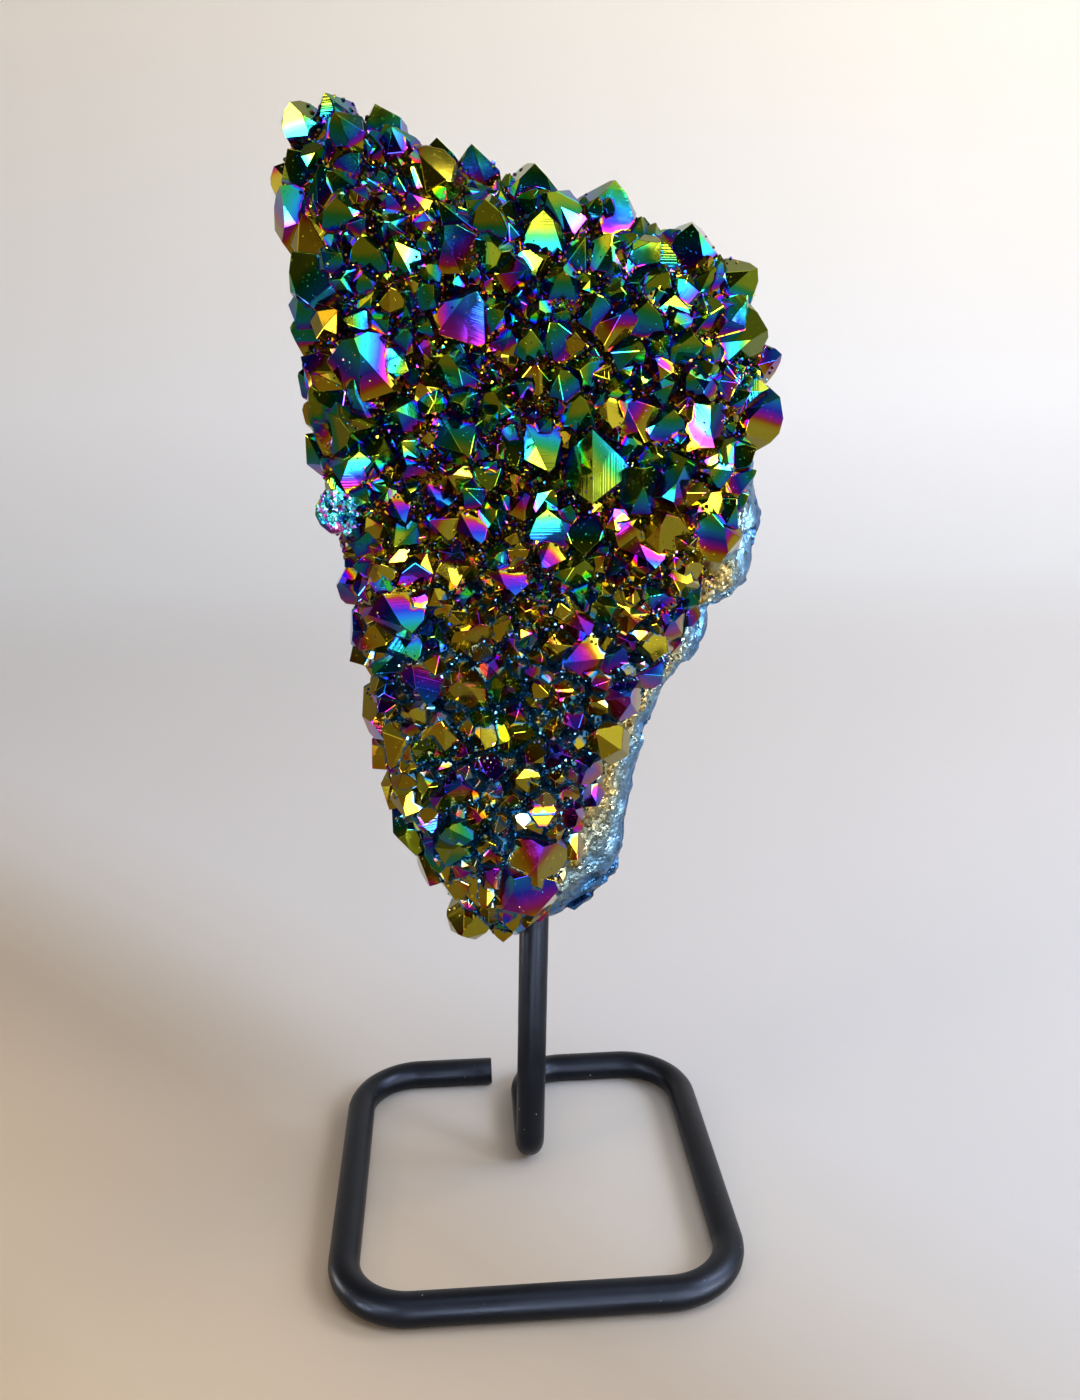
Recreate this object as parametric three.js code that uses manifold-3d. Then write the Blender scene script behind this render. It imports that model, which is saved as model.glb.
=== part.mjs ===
// Aura quartz cluster on a bent steel rod.
// A slab of quartz druse, about 210 mm tall, is drilled from below and stands on the upright end of an
// 8 mm steel rod, which is bent from one length into a square loop that lies on the table.
// Millimetres, +Z up, the crystal face looks along -Y. The origin is the middle of the part's box, at the
// table; the sizes below are measured from the middle of the loop.

import * as THREE from 'three';
import { ConvexGeometry } from 'three/addons/geometries/ConvexGeometry.js';
import { ImprovedNoise } from 'three/addons/math/ImprovedNoise.js';
import { mergeVertices } from 'three/addons/utils/BufferGeometryUtils.js';
import Module from 'manifold-3d';

const wasm = await Module();
wasm.setup();

// ---- Driving dimensions: the rod ----------------------------------------------------------------

const ROD_DIAMETER = 8; // across the section's flats, one of which lies on the table
const ROD_SIDES = 12;
const LOOP_WIDTH = 98; // square loop, rod centre to rod centre
const LOOP_CORNER_RADIUS = 17.5;
const FREE_END = -9; // x at which the rod's free end stops on the back bar
const FORWARD_BEND_RADIUS = 12; // back bar into the run that comes forward
const ELBOW_RADIUS = 6; // forward run into the post
const POST_FOOT = new THREE.Vector2(0.7, 8.4); // x and y of the post where it would meet the table
const POST_LEAN = THREE.MathUtils.degToRad(1.5); // the post leans a little to the right
const POST_LENGTH = 91; // straight part above the elbow
const BEND_STEPS = 4; // flats around each bend
const HOLE_CLEARANCE = 0.3; // between the post and the hole in the stone, around and above

// ---- Driving dimensions: the stone --------------------------------------------------------------

const SLAB_CENTRE = new THREE.Vector2(0, 178); // x and z of the middle that the outlines turn around
const GROUND_DEPTH = -6; // y of the flat ground that the crystals stand on
const RIM_DEPTH = 3; // y of the crystal face's rim
const RIM_START = 0.82; // share of the way out at which the ground turns back to the rim
const RIND_LUMP = 3; // height of the rind's lumps
const RIND_LUMP_SIZE = 19;
const SLAB_SPOKES = 36;

// Rim of the crystal face, clockwise from the top left corner, as x and z.
const FACE_OUTLINE = [
  [-45, 270], [-37, 272], [-28, 269], [-20, 264], [-8, 259], [4, 257], [14, 254], [26, 251], [38, 246],
  [48, 238], [54, 226], [56, 212], [53, 198], [49, 184], [44, 170], [38, 154], [30, 142], [22, 132],
  [17, 118], [13, 106], [8, 94], [4, 84], [-5, 79], [-16, 83], [-20, 93], [-24, 103], [-30, 112],
  [-32, 124], [-34, 138], [-37, 152], [-39, 168], [-41, 184], [-44, 200], [-46, 216], [-47, 232],
  [-47, 246], [-48, 258],
];

// Widest line of the rind behind it, which stands out past the crystals on the lower right.
const RIND_OUTLINE = [
  [-43, 268], [-36, 271], [-28, 268], [-20, 264], [-8, 259], [4, 257], [16, 254], [28, 251], [40, 246],
  [51, 238], [58, 226], [60, 212], [59, 200], [61, 192], [63, 182], [62, 174], [58, 165], [52, 159],
  [48, 149], [41, 140], [34, 130], [31, 118], [31, 106], [30, 95], [28, 84], [22, 76], [14, 71],
  [3, 71], [-8, 75], [-15, 84], [-18, 94], [-22, 104], [-27, 114], [-29, 126], [-31, 140], [-34, 154],
  [-36, 170], [-39, 186], [-42, 202], [-44, 218], [-45, 234], [-45, 248], [-46, 258],
];

// Rings from the middle of the face, over the rim, to the middle of the back: how far out each lies, how
// far it has gone over from the face's outline to the rind's, its depth, and its share of the rind's lumps.
const SLAB_RINGS = [
  { out: 0, over: 0, depth: GROUND_DEPTH, lumpy: 0 },
  { out: RIM_START, over: 0, depth: GROUND_DEPTH, lumpy: 0 },
  { out: 1, over: 0, depth: RIM_DEPTH, lumpy: 0 },
  { out: 1, over: 0.4, depth: 9, lumpy: 0.2 },
  { out: 1, over: 0.8, depth: 15, lumpy: 0.6 },
  { out: 1, over: 1, depth: 21, lumpy: 1 },
  { out: 0.97, over: 1, depth: 27, lumpy: 1 },
  { out: 0.82, over: 1, depth: 32, lumpy: 1 },
  { out: 0.5, over: 1, depth: 35.5, lumpy: 1 },
  { out: 0, over: 1, depth: 36.5, lumpy: 0 },
];

// Larger lumps of the rind: middle and radius.
const RIND_KNOBS = [
  [54, 20, 177, 8.5],
  [21, 20, 96, 8.5],
  [12, 24, 205, 16],
];

// Quartz: the normal of a pyramid face leans this far from the crystal's axis.
const PYRAMID_TILT = THREE.MathUtils.degToRad(51.8);

// The cluster's larger crystals from the top down: the middle's x and z, the width, how far right of the
// middle and above it the tip stands, and the turn of the first large face, in degrees from straight up.
const CRYSTALS = [
  [-39, 274, 9, -1, 2, 60], [-46, 272, 9.5, -1, 2, 60], [-29, 271, 10, 0, 3, 30],
  [-37, 267, 8.5, 1, 3, 60], [-17, 265, 9, 1, 3, 60], [-27, 264, 9.5, 0, 2, 0],
  [-47, 263, 9.5, -1, 1, 20], [-9, 263, 10, -1, 4, 60], [-51, 261, 7, -2, 1, 60],
  [3, 258, 12.5, 1, 3, 60], [-19, 259, 9.5, 1, 2, 60], [-28, 255, 8, 0, 2, 30],
  [-48, 254, 13, -2.5, 4, 100], [-38, 254, 10, -1, 2, 60], [20, 254, 14, 1.5, 5.5, 60],
  [5, 249, 13.5, 0, 2.5, 60], [-40, 247, 8, 0, 2, 0], [-15, 247, 11.5, -1.5, 3.5, 0],
  [-33, 246, 9, -1, 3, 60], [38, 246, 12.5, -2.5, 2, 70], [-26, 245, 9.5, -1, 2, 60],
  [-5, 245, 10.5, 1, 0, 20], [31, 244, 10, 1, 3, 60], [20, 241, 8.5, 1, 2, 30],
  [42, 239, 9.5, 1, 2, 60], [50, 238, 12.5, 4, 1, 90], [9, 239, 10.5, 0, 2, 60],
  [-44, 236, 13, -1, 3.5, 60], [-33, 236, 8.5, 2, 2, 30], [-25, 235, 8, 0, 2, 0],
  [0, 235, 9, -1, 1, 80], [-11, 234, 12, 2, 4, 80], [34, 234, 8.5, 0, 2, 60],
  [28, 232, 9.5, 0, 3.5, 60], [22, 231, 10.5, 2, 3, 60], [-46, 230, 10, 0, 3, 60],
  [8, 228, 10, -2, 3, 20], [50, 227, 15.5, 4, -1.5, 60], [58, 221, 9, 3, 0, 60],
  [37, 226, 9.5, 1, 2, 60], [-3, 226, 9.5, 1, 2, 60], [-35, 224, 14.5, -1.5, 4, 100],
  [-15, 222, 11.5, -1, 2, 80], [24, 220, 9, 0, -1, 0], [-47, 218, 8, -2, 1, 60],
  [1, 217, 9, 1, 1, 60], [33, 216, 9.5, 1, 1, 40], [-36, 216, 9.5, -1, 3, 0],
  [13, 212, 9.5, 0, 3, 60], [25, 211, 11, -2, 2.5, 0], [-27, 211, 11.5, -1, 1, 80],
  [55, 210, 14, 2.5, 3, 80], [-8, 210, 9, 0, 1, 30], [42, 209, 11.5, 0.5, 3.5, 0],
  [33, 209, 9.5, 1, 3, 60], [-38, 208, 12, 0, -0.5, 20], [-14, 204, 12.5, 1.5, -2, 0],
  [25, 203, 8.5, 1, 1, 40], [-46, 203, 9.5, -1, 3, 60], [-2, 202, 9, 0, -4, 0],
  [46, 202, 9, 0, 3, 0], [-37, 201, 11, 0.5, 2.5, 60], [5, 201, 11.5, 1, -3.5, 0],
  [16, 199, 17, -1, 6, 0], [-25, 199, 9.5, -1, 1, 30], [36, 197, 11.5, 2, 4.5, 30],
  [-8, 196, 9, 0, -2, 0], [27, 195, 12, 0, 4, 0], [49, 193, 9.5, 0, 1, 10],
  [-18, 192, 9, 1, -1, 0], [-43, 189, 11, -2, 1, 50], [-28, 189, 9, 1, -2, 0],
  [6, 187, 11.5, -0.5, 3, 60], [33, 185, 11, 0, 3.5, 30], [44, 184, 13.5, -2, 4, 70],
  [-11, 184, 10, 1, -2, 0], [-35, 183, 9, 0, 3, 60], [14, 182, 11, 0, -3.5, 0],
  [29, 178, 11, 2, -2.5, 10], [13, 176, 10, 1, 2, 60], [-25, 176, 9.5, 0, 2, 60],
  [22, 175, 9.5, 0, 1, 30], [-17, 174, 9.5, 1, -2, 20], [-39, 172, 11, -1, 2, 60],
  [-3, 172, 10, 1, -2, 10], [39, 168, 11, 1.5, -1, 20], [-28, 164, 12.5, 2, -2, 0],
  [25, 164, 10, 1, -1, 20], [4, 164, 9, 0, 1, 10], [13, 162, 11, 2, -2.5, 10],
  [34, 162, 9, 1, 1, 40], [-12, 162, 12, 1, 2, 60], [-37, 161, 10.5, -1, 2, 30],
  [-3, 158, 9, -1, 2, 60], [-27, 157, 10.5, 1.5, -2, 0], [-38, 154, 9.5, -3, 0, 60],
  [12, 154, 12, -3.5, 0, 60], [22, 154, 9.5, 1, 3, 60], [30, 150, 11, 2.5, -0.5, 90],
  [-15, 148, 12, -1, 2, 60], [-5, 148, 11, 0, 1, 40], [-24, 147, 11.5, 0, -2.5, 20],
  [-32, 145, 9.5, -1, 2, 60], [8, 145, 10, 0, 0, 30], [23, 144, 12.5, 2, 1, 100],
  [12, 138, 9, 0, -1, 0], [-14, 137, 8, 0, -1, 0], [-33, 136, 11, 2, -1.5, 20],
  [-3, 136, 11.5, 0, 1, 30], [22, 134, 8, 3, -1, 40], [-23, 133, 10.5, 0, 1, 60],
  [7, 130, 9, -1, 1, 30], [-35, 127, 9, -2, 0, 60], [14, 126, 10, 1, 1, 30],
  [-8, 126, 8.5, 0, -2, 0], [-17, 122, 11, 1, 2, 60], [-24, 122, 9, 0, 1, 30],
  [-32, 117, 10, -1, -1, 40], [16, 116, 9, 1, 1, 60], [4, 115, 9.5, 0, 0, 0],
  [-12, 114, 9.5, 1, 1, 30], [-17, 106, 11, 0, 2, 60], [-28, 105, 12.5, 2, -2, 10],
  [2, 104, 13.5, 2, 4.5, 20], [11, 102, 9.5, 2, 1, 60], [-23, 97, 10.5, -1, 0, 40],
  [-2, 96, 15, -1.5, 4.5, 10], [3, 84, 8.5, 1, -2, 20], [-15, 82, 13, -1, 3.5, 80],
  [-6, 78, 9.5, 0, -3, 0],
];

// ---- Tools of the trade -------------------------------------------------------------------------

function toSolid(geometry) {
  const bare = geometry.clone();
  bare.deleteAttribute('normal');
  bare.deleteAttribute('uv');
  const merged = mergeVertices(bare, 1e-4);
  return new wasm.Manifold(new wasm.Mesh({
    numProp: 3,
    vertProperties: new Float32Array(merged.attributes.position.array),
    triVerts: new Uint32Array(merged.index.array),
  }));
}

function toGeometry(solid) {
  const { vertProperties, triVerts } = solid.getMesh();
  const geometry = new THREE.BufferGeometry();
  geometry.setAttribute('position', new THREE.Float32BufferAttribute(vertProperties, 3));
  geometry.setIndex(new THREE.Uint32BufferAttribute(triVerts, 1));
  return geometry;
}

// The next number of a fixed series that looks random, between two limits.
let seed = 20261;
function randomBetween(low, high) {
  seed = (seed * 1664525 + 1013904223) % 4294967296;
  return low + (high - low) * seed / 4294967296;
}

// ---- Rod stand ----------------------------------------------------------------------------------

// A bent rod is known by its stations: the ends of its straight runs, and points around its bends.
class BentRod extends THREE.Curve {
  constructor(start, direction) {
    super();
    this.points = [start.clone()];
    this.tangents = [direction.clone()];
  }

  get end() {
    return this.points.at(-1);
  }

  get heading() {
    return this.tangents.at(-1);
  }

  get steps() {
    return this.points.length - 1;
  }

  straight(length) {
    this.points.push(this.end.clone().addScaledVector(this.heading, length));
    this.tangents.push(this.heading.clone());
    return this;
  }

  // A bend with its centre to one side, on until the rod heads the way it is told.
  bend(radius, newHeading) {
    const heading = this.heading.clone();
    const axis = heading.clone().cross(newHeading).normalize();
    const angle = heading.angleTo(newHeading);
    const arm = heading.clone().cross(axis).multiplyScalar(radius);
    const centre = this.end.clone().sub(arm);
    for (let step = 1; step <= BEND_STEPS; step += 1) {
      const turned = angle * step / BEND_STEPS;
      this.points.push(arm.clone().applyAxisAngle(axis, turned).add(centre));
      this.tangents.push(heading.clone().applyAxisAngle(axis, turned));
    }
    return this;
  }

  // The extrusion asks for evenly spaced places; it gets the stations in their order.
  getSpacedPoints() {
    return this.points;
  }

  getTangentAt(fraction) {
    return this.tangents[Math.round(fraction * this.steps)].clone();
  }
}

function rodSection() {
  const cornerRadius = ROD_DIAMETER / 2 / Math.cos(Math.PI / ROD_SIDES);
  const corners = [];
  for (let side = 0; side < ROD_SIDES; side += 1) {
    const angle = (side + 0.5) * 2 * Math.PI / ROD_SIDES;
    corners.push(new THREE.Vector2(cornerRadius * Math.cos(angle), cornerRadius * Math.sin(angle)));
  }
  return new THREE.Shape(corners);
}

function rodPath() {
  const left = new THREE.Vector3(-1, 0, 0);
  const right = new THREE.Vector3(1, 0, 0);
  const front = new THREE.Vector3(0, -1, 0);
  const back = new THREE.Vector3(0, 1, 0);
  const upright = new THREE.Vector3(Math.sin(POST_LEAN), 0, Math.cos(POST_LEAN));
  const half = LOOP_WIDTH / 2;
  const cornerToCorner = LOOP_WIDTH - 2 * LOOP_CORNER_RADIUS;
  const freeEnd = new THREE.Vector3(FREE_END, half, ROD_DIAMETER / 2);
  return new BentRod(freeEnd, left)
    .straight(half - LOOP_CORNER_RADIUS + FREE_END)
    .bend(LOOP_CORNER_RADIUS, front)
    .straight(cornerToCorner)
    .bend(LOOP_CORNER_RADIUS, right)
    .straight(cornerToCorner)
    .bend(LOOP_CORNER_RADIUS, back)
    .straight(cornerToCorner)
    .bend(LOOP_CORNER_RADIUS, left)
    .straight(half - LOOP_CORNER_RADIUS - POST_FOOT.x - FORWARD_BEND_RADIUS)
    .bend(FORWARD_BEND_RADIUS, front)
    .straight(half - FORWARD_BEND_RADIUS - POST_FOOT.y - ELBOW_RADIUS)
    .bend(ELBOW_RADIUS, upright)
    .straight(POST_LENGTH);
}

const rod = rodPath();

function makeRodStand() {
  const geometry = new THREE.ExtrudeGeometry(rodSection(), {
    steps: rod.steps,
    extrudePath: rod,
    bevelEnabled: false,
  });
  const steel = new THREE.MeshStandardMaterial({ color: 0x1c1d20, roughness: 0.5, metalness: 0.3 });
  const mesh = new THREE.Mesh(geometry, steel);
  mesh.name = 'rod_stand';
  return mesh;
}

// ---- Quartz cluster: the slab -------------------------------------------------------------------

// How far an outline lies from the slab's centre, as a function of the angle.
function outlineReach(outline) {
  const turn = 2 * Math.PI;
  const corners = outline.map(([x, z]) => {
    const arm = new THREE.Vector2(x, z).sub(SLAB_CENTRE);
    return { angle: Math.atan2(arm.y, arm.x), reach: arm.length() };
  });
  corners.sort((a, b) => a.angle - b.angle);
  return (angle) => {
    const after = Math.max(0, corners.findIndex((corner) => corner.angle > angle));
    const before = corners.at(after - 1);
    const span = (corners[after].angle - before.angle + turn) % turn;
    const along = (angle - before.angle + turn) % turn / span;
    return THREE.MathUtils.lerp(before.reach, corners[after].reach, along);
  };
}

const faceReach = outlineReach(FACE_OUTLINE);
const rindReach = outlineReach(RIND_OUTLINE);

// How far out a place on the face is: 0 in the slab's middle and 1 on the rim.
function rimShare(x, z) {
  const arm = new THREE.Vector2(x, z).sub(SLAB_CENTRE);
  return arm.length() / faceReach(Math.atan2(arm.y, arm.x));
}

function groundDepth(share) {
  const turned = THREE.MathUtils.clamp((share - RIM_START) / (1 - RIM_START), 0, 1.3);
  return THREE.MathUtils.lerp(GROUND_DEPTH, RIM_DEPTH, turned);
}

// A sphere's net drawn out to the slab: its poles are the middles of the face and the back.
function makeSlab() {
  const geometry = new THREE.SphereGeometry(1, SLAB_SPOKES, SLAB_RINGS.length - 1);
  const places = geometry.attributes.position;
  const noise = new ImprovedNoise();
  const size = RIND_LUMP_SIZE;
  for (let index = 0; index < places.count; index += 1) {
    const ring = SLAB_RINGS[Math.floor(index / (SLAB_SPOKES + 1))];
    const spoke = index % (SLAB_SPOKES + 1) % SLAB_SPOKES;
    const angle = 2 * Math.PI * (spoke + 0.5) / SLAB_SPOKES - Math.PI;
    const reach = THREE.MathUtils.lerp(faceReach(angle), rindReach(angle), ring.over);
    const out = new THREE.Vector2(Math.cos(angle), Math.sin(angle)).multiplyScalar(ring.out);
    const x = SLAB_CENTRE.x + reach * out.x;
    const z = SLAB_CENTRE.y + reach * out.y;
    const lump = RIND_LUMP * ring.lumpy * noise.noise(x / size, ring.depth / size, z / size);
    places.setXYZ(index, x + lump * out.x, ring.depth + lump, z + lump * out.y);
  }
  return toSolid(geometry);
}

function makeKnob([x, y, z, radius]) {
  const geometry = new THREE.IcosahedronGeometry(radius, 1);
  geometry.translate(x, y, z);
  return toSolid(geometry);
}

// ---- Quartz cluster: the crystals ---------------------------------------------------------------

// The corners of the space behind a set of planes.
function planeCorners(planes) {
  const corners = [];
  const system = new THREE.Matrix3();
  for (let i = 0; i < planes.length; i += 1) {
    for (let j = i + 1; j < planes.length; j += 1) {
      for (let k = j + 1; k < planes.length; k += 1) {
        const [a, b, c] = [planes[i].normal, planes[j].normal, planes[k].normal];
        system.set(a.x, a.y, a.z, b.x, b.y, b.z, c.x, c.y, c.z);
        if (Math.abs(system.determinant()) < 1e-3) continue;
        const corner = new THREE.Vector3(planes[i].reach, planes[j].reach, planes[k].reach);
        corner.applyMatrix3(system.invert());
        if (planes.every((plane) => plane.normal.dot(corner) < plane.reach + 1e-4)) corners.push(corner);
      }
    }
  }
  return corners;
}

// One quartz crystal, standing on +Z with the foot of its pyramid near the origin: the space inside six
// prism faces and six pyramid faces, of which every second one is small or missing.
function crystalGeometry(width) {
  const planes = [{ normal: new THREE.Vector3(0, 0, -1), reach: width * 0.9 }];
  const smallFaces = randomBetween(1.04, 1.4);
  for (let side = 0; side < 6; side += 1) {
    const angle = side * Math.PI / 3;
    const prism = new THREE.Vector3(Math.cos(angle), Math.sin(angle), 0);
    const pyramid = prism.clone().multiplyScalar(Math.sin(PYRAMID_TILT));
    pyramid.z = Math.cos(PYRAMID_TILT);
    const pyramidReach = width * 0.42 * randomBetween(0.95, 1.07) * (side % 2 === 1 ? smallFaces : 1);
    planes.push({ normal: prism, reach: width / 2 * randomBetween(0.9, 1.06) });
    planes.push({ normal: pyramid, reach: pyramidReach });
  }
  return new ConvexGeometry(planeCorners(planes));
}

// Crystals lean the way their tips stand, and near the rim they splay outward as well.
function crystalAxis(x, z, width, tipRight, tipUp) {
  const axis = new THREE.Vector3(tipRight, -width * 0.55, tipUp).normalize();
  const splay = 0.9 * THREE.MathUtils.smoothstep(rimShare(x, z), RIM_START, 1.1);
  const outward = new THREE.Vector3(x - SLAB_CENTRE.x, 0, z - SLAB_CENTRE.y).normalize();
  return axis.addScaledVector(outward, splay).normalize();
}

function makeCrystal([x, z, width, tipRight, tipUp, turn]) {
  const geometry = crystalGeometry(width);
  const axis = crystalAxis(x, z, width, tipRight, tipUp);
  const firstFace = new THREE.Vector3(0, 0, 1).projectOnPlane(axis).normalize();
  const across = axis.clone().cross(firstFace);
  geometry.rotateZ(THREE.MathUtils.degToRad(-turn));
  geometry.applyMatrix4(new THREE.Matrix4().makeBasis(firstFace, across, axis));
  const foot = new THREE.Vector3(x - 0.3 * tipRight, groundDepth(rimShare(x, z)), z - 0.3 * tipUp);
  foot.addScaledVector(axis, -0.05 * width);
  geometry.translate(foot.x, foot.y, foot.z);
  return toSolid(geometry);
}

// ---- Quartz cluster: the hole and the whole -----------------------------------------------------

// The post's last straight run, grown by the clearance and opened well below the stone.
function makePostHole() {
  const radius = (ROD_DIAMETER / 2 + HOLE_CLEARANCE) / Math.cos(Math.PI / ROD_SIDES) ** 2;
  const length = POST_LENGTH + HOLE_CLEARANCE;
  const geometry = new THREE.CylinderGeometry(radius, radius, length, ROD_SIDES);
  geometry.translate(0, (HOLE_CLEARANCE - POST_LENGTH) / 2, 0);
  geometry.applyQuaternion(new THREE.Quaternion().setFromUnitVectors(THREE.Object3D.DEFAULT_UP, rod.heading));
  geometry.translate(rod.end.x, rod.end.y, rod.end.z);
  return toSolid(geometry);
}

function makeQuartzCluster() {
  const grown = [makeSlab(), ...RIND_KNOBS.map(makeKnob), ...CRYSTALS.map(makeCrystal)];
  const cluster = wasm.Manifold.union(grown).subtract(makePostHole());
  const coated = new THREE.MeshStandardMaterial({ color: 0x3f6b52, roughness: 0.15, metalness: 0.9 });
  const mesh = new THREE.Mesh(toGeometry(cluster), coated);
  mesh.name = 'quartz_cluster';
  return mesh;
}

// ---- The part, stood on the middle of its box ---------------------------------------------------

const part = new THREE.Group();
part.add(makeRodStand(), makeQuartzCluster());
const box = new THREE.Box3().setFromObject(part, true);
part.position.set(-(box.min.x + box.max.x) / 2, -(box.min.y + box.max.y) / 2, -box.min.z);
part.updateMatrixWorld(true);

export default part;
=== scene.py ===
"""An aura quartz cluster standing on the upright end of a bent steel rod."""

import math

import bpy
import numpy as np
from mathutils import Matrix, Vector, noise
from mathutils.bvhtree import BVHTree


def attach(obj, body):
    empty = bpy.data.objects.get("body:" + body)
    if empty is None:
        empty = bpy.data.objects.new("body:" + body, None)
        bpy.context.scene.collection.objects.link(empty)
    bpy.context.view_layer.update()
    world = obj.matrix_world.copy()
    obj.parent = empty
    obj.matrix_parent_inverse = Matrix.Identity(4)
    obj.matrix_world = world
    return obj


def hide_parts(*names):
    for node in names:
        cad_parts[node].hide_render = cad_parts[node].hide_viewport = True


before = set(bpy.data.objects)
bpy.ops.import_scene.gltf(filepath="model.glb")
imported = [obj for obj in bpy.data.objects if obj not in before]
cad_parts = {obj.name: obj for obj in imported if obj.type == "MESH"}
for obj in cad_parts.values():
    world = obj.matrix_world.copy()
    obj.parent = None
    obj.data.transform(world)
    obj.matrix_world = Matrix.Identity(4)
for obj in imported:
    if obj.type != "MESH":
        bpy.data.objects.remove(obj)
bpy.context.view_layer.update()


# ---- Rod stand -------------------------------------------------------------------------------
# One length of 8 mm round steel, bent cold: a square loop on the table, a run forward and a post.
# It is satin black powder coat all over; the free end is sawn flat and only lightly deburred.

MM = 0.001
LOOP_MIDDLE = np.array([-5.088, 0.0, 0.0])  # the loop's middle in the part's frame, in millimetres
ROD_RADIUS = 4.0
LOOP_HALF = 49.0
CORNER_RADIUS = 17.5
FREE_END = -9.0
FORWARD_RADIUS = 12.0
ELBOW_RADIUS = 6.0
POST_FOOT = (0.7, 8.4)
POST_LEAN = math.radians(1.5)
POST_LENGTH = 91.0
BEND_STEPS = 20
POWDER_BLACK = "#08080A"
POWDER_DUST = "#14161A"
BARE_STEEL = "#8E9298"


def linear(hex_colour):
    """An sRGB hex colour as the linear colour that shader sockets take."""
    values = [int(hex_colour[i : i + 2], 16) / 255 for i in (1, 3, 5)]
    return [v / 12.92 if v <= 0.04045 else ((v + 0.055) / 1.055) ** 2.4 for v in values] + [1.0]


def add_node(material, kind, settings=None, stops=(), **inputs):
    """Adds one node: settings are its properties, stops a ramp's positions and hex colours, and
    inputs its sockets' values or what feeds them, a node with its first output."""
    node = material.node_tree.nodes.new("ShaderNode" + kind)
    for name, value in (settings or {}).items():
        setattr(node, name, value)
    for name, value in inputs.items():
        socket = node.inputs[int(name[1:]) if name[1:].isdigit() else name.replace("_", " ")]
        if isinstance(value, bpy.types.Node):
            value = value.outputs[0]
        if isinstance(value, bpy.types.NodeSocket):
            material.node_tree.links.new(value, socket)
        else:
            socket.default_value = value
    for _ in stops[2:]:
        node.color_ramp.elements.new(0.5)
    for number, (position, colour) in enumerate(stops):
        element = node.color_ramp.elements[number]
        element.position, element.color = position, linear(colour)
    return node


def new_material(name):
    """A material with nothing in it but its output."""
    material = bpy.data.materials.new(name)
    material.use_nodes = True
    material.node_tree.nodes.clear()
    return material


def finish_material(material, shader):
    add_node(material, "OutputMaterial", Surface=shader)
    return material


def activate(piece):
    bpy.ops.object.select_all(action="DESELECT")
    piece.select_set(True)
    bpy.context.view_layer.objects.active = piece


def apply_modifier(piece, kind, **settings):
    """Adds a modifier with its settings and applies it."""
    modifier = piece.modifiers.new(kind.lower(), kind)
    for name, value in settings.items():
        setattr(modifier, name, value)
    activate(piece)
    bpy.ops.object.modifier_apply(modifier=modifier.name)


def link_object(name, data):
    item = bpy.data.objects.new(name, data)
    bpy.context.collection.objects.link(item)
    return item


def new_piece(name, corners, faces):
    """A piece from corners in metres."""
    mesh = bpy.data.meshes.new(name)
    mesh.from_pydata(corners, [], faces)
    mesh.update()
    return link_object(name, mesh)


def mesh_piece(name, corners, faces):
    """A piece from corners in the loop's frame in millimetres."""
    return new_piece(name, ((np.asarray(corners) + LOOP_MIDDLE) * MM).tolist(), faces)


def rod_line():
    """The rod's centreline, walked from the free end round the loop, forward and up the post."""
    left, right = Vector((-1, 0, 0)), Vector((1, 0, 0))
    front, back = Vector((0, -1, 0)), Vector((0, 1, 0))
    up = Vector((math.sin(POST_LEAN), 0, math.cos(POST_LEAN)))
    straight = 2 * (LOOP_HALF - CORNER_RADIUS)
    walk = [
        (LOOP_HALF - CORNER_RADIUS + FREE_END, CORNER_RADIUS, front),
        (straight, CORNER_RADIUS, right),
        (straight, CORNER_RADIUS, back),
        (straight, CORNER_RADIUS, left),
        (LOOP_HALF - CORNER_RADIUS - POST_FOOT[0] - FORWARD_RADIUS, FORWARD_RADIUS, front),
        (LOOP_HALF - FORWARD_RADIUS - POST_FOOT[1] - ELBOW_RADIUS, ELBOW_RADIUS, up),
    ]
    line = [Vector((FREE_END, LOOP_HALF, ROD_RADIUS))]
    heading = left
    for run, radius, turned in walk:
        line.append(line[-1] + heading * run)
        axis = heading.cross(turned).normalized()
        arm = heading.cross(axis) * radius
        centre = line[-1] - arm
        angle = heading.angle(turned)
        for step in range(1, BEND_STEPS + 1):
            line.append(centre + Matrix.Rotation(angle * step / BEND_STEPS, 3, axis) @ arm)
        heading = turned
    line.append(line[-1] + heading * POST_LENGTH)
    return line


rod_curve = bpy.data.curves.new("rod_stand_round", "CURVE")
rod_curve.dimensions = "3D"
rod_curve.bevel_depth = ROD_RADIUS * MM
rod_curve.bevel_resolution = 10
rod_curve.use_fill_caps = True
spline = rod_curve.splines.new("POLY")
line = rod_line()
spline.points.add(len(line) - 1)
for point, place in zip(spline.points, line):
    point.co = (*((np.array(place) + LOOP_MIDDLE) * MM), 1)
activate(link_object("rod_stand_round", rod_curve))
bpy.ops.object.convert(target="MESH")
rod = bpy.context.object
bpy.ops.object.mode_set(mode="EDIT")
bpy.ops.mesh.select_mode(type="EDGE")
bpy.ops.mesh.select_all(action="SELECT")
bpy.ops.mesh.remove_doubles(threshold=0.00001)
bpy.ops.mesh.select_all(action="DESELECT")
bpy.ops.mesh.edges_select_sharp(sharpness=math.radians(60))
bpy.ops.mesh.bevel(offset=0.0003, segments=2)
bpy.ops.mesh.select_all(action="SELECT")
bpy.ops.mesh.normals_make_consistent(inside=False)
bpy.ops.object.mode_set(mode="OBJECT")
bpy.ops.object.shade_smooth_by_angle(angle=math.radians(35))

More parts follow.
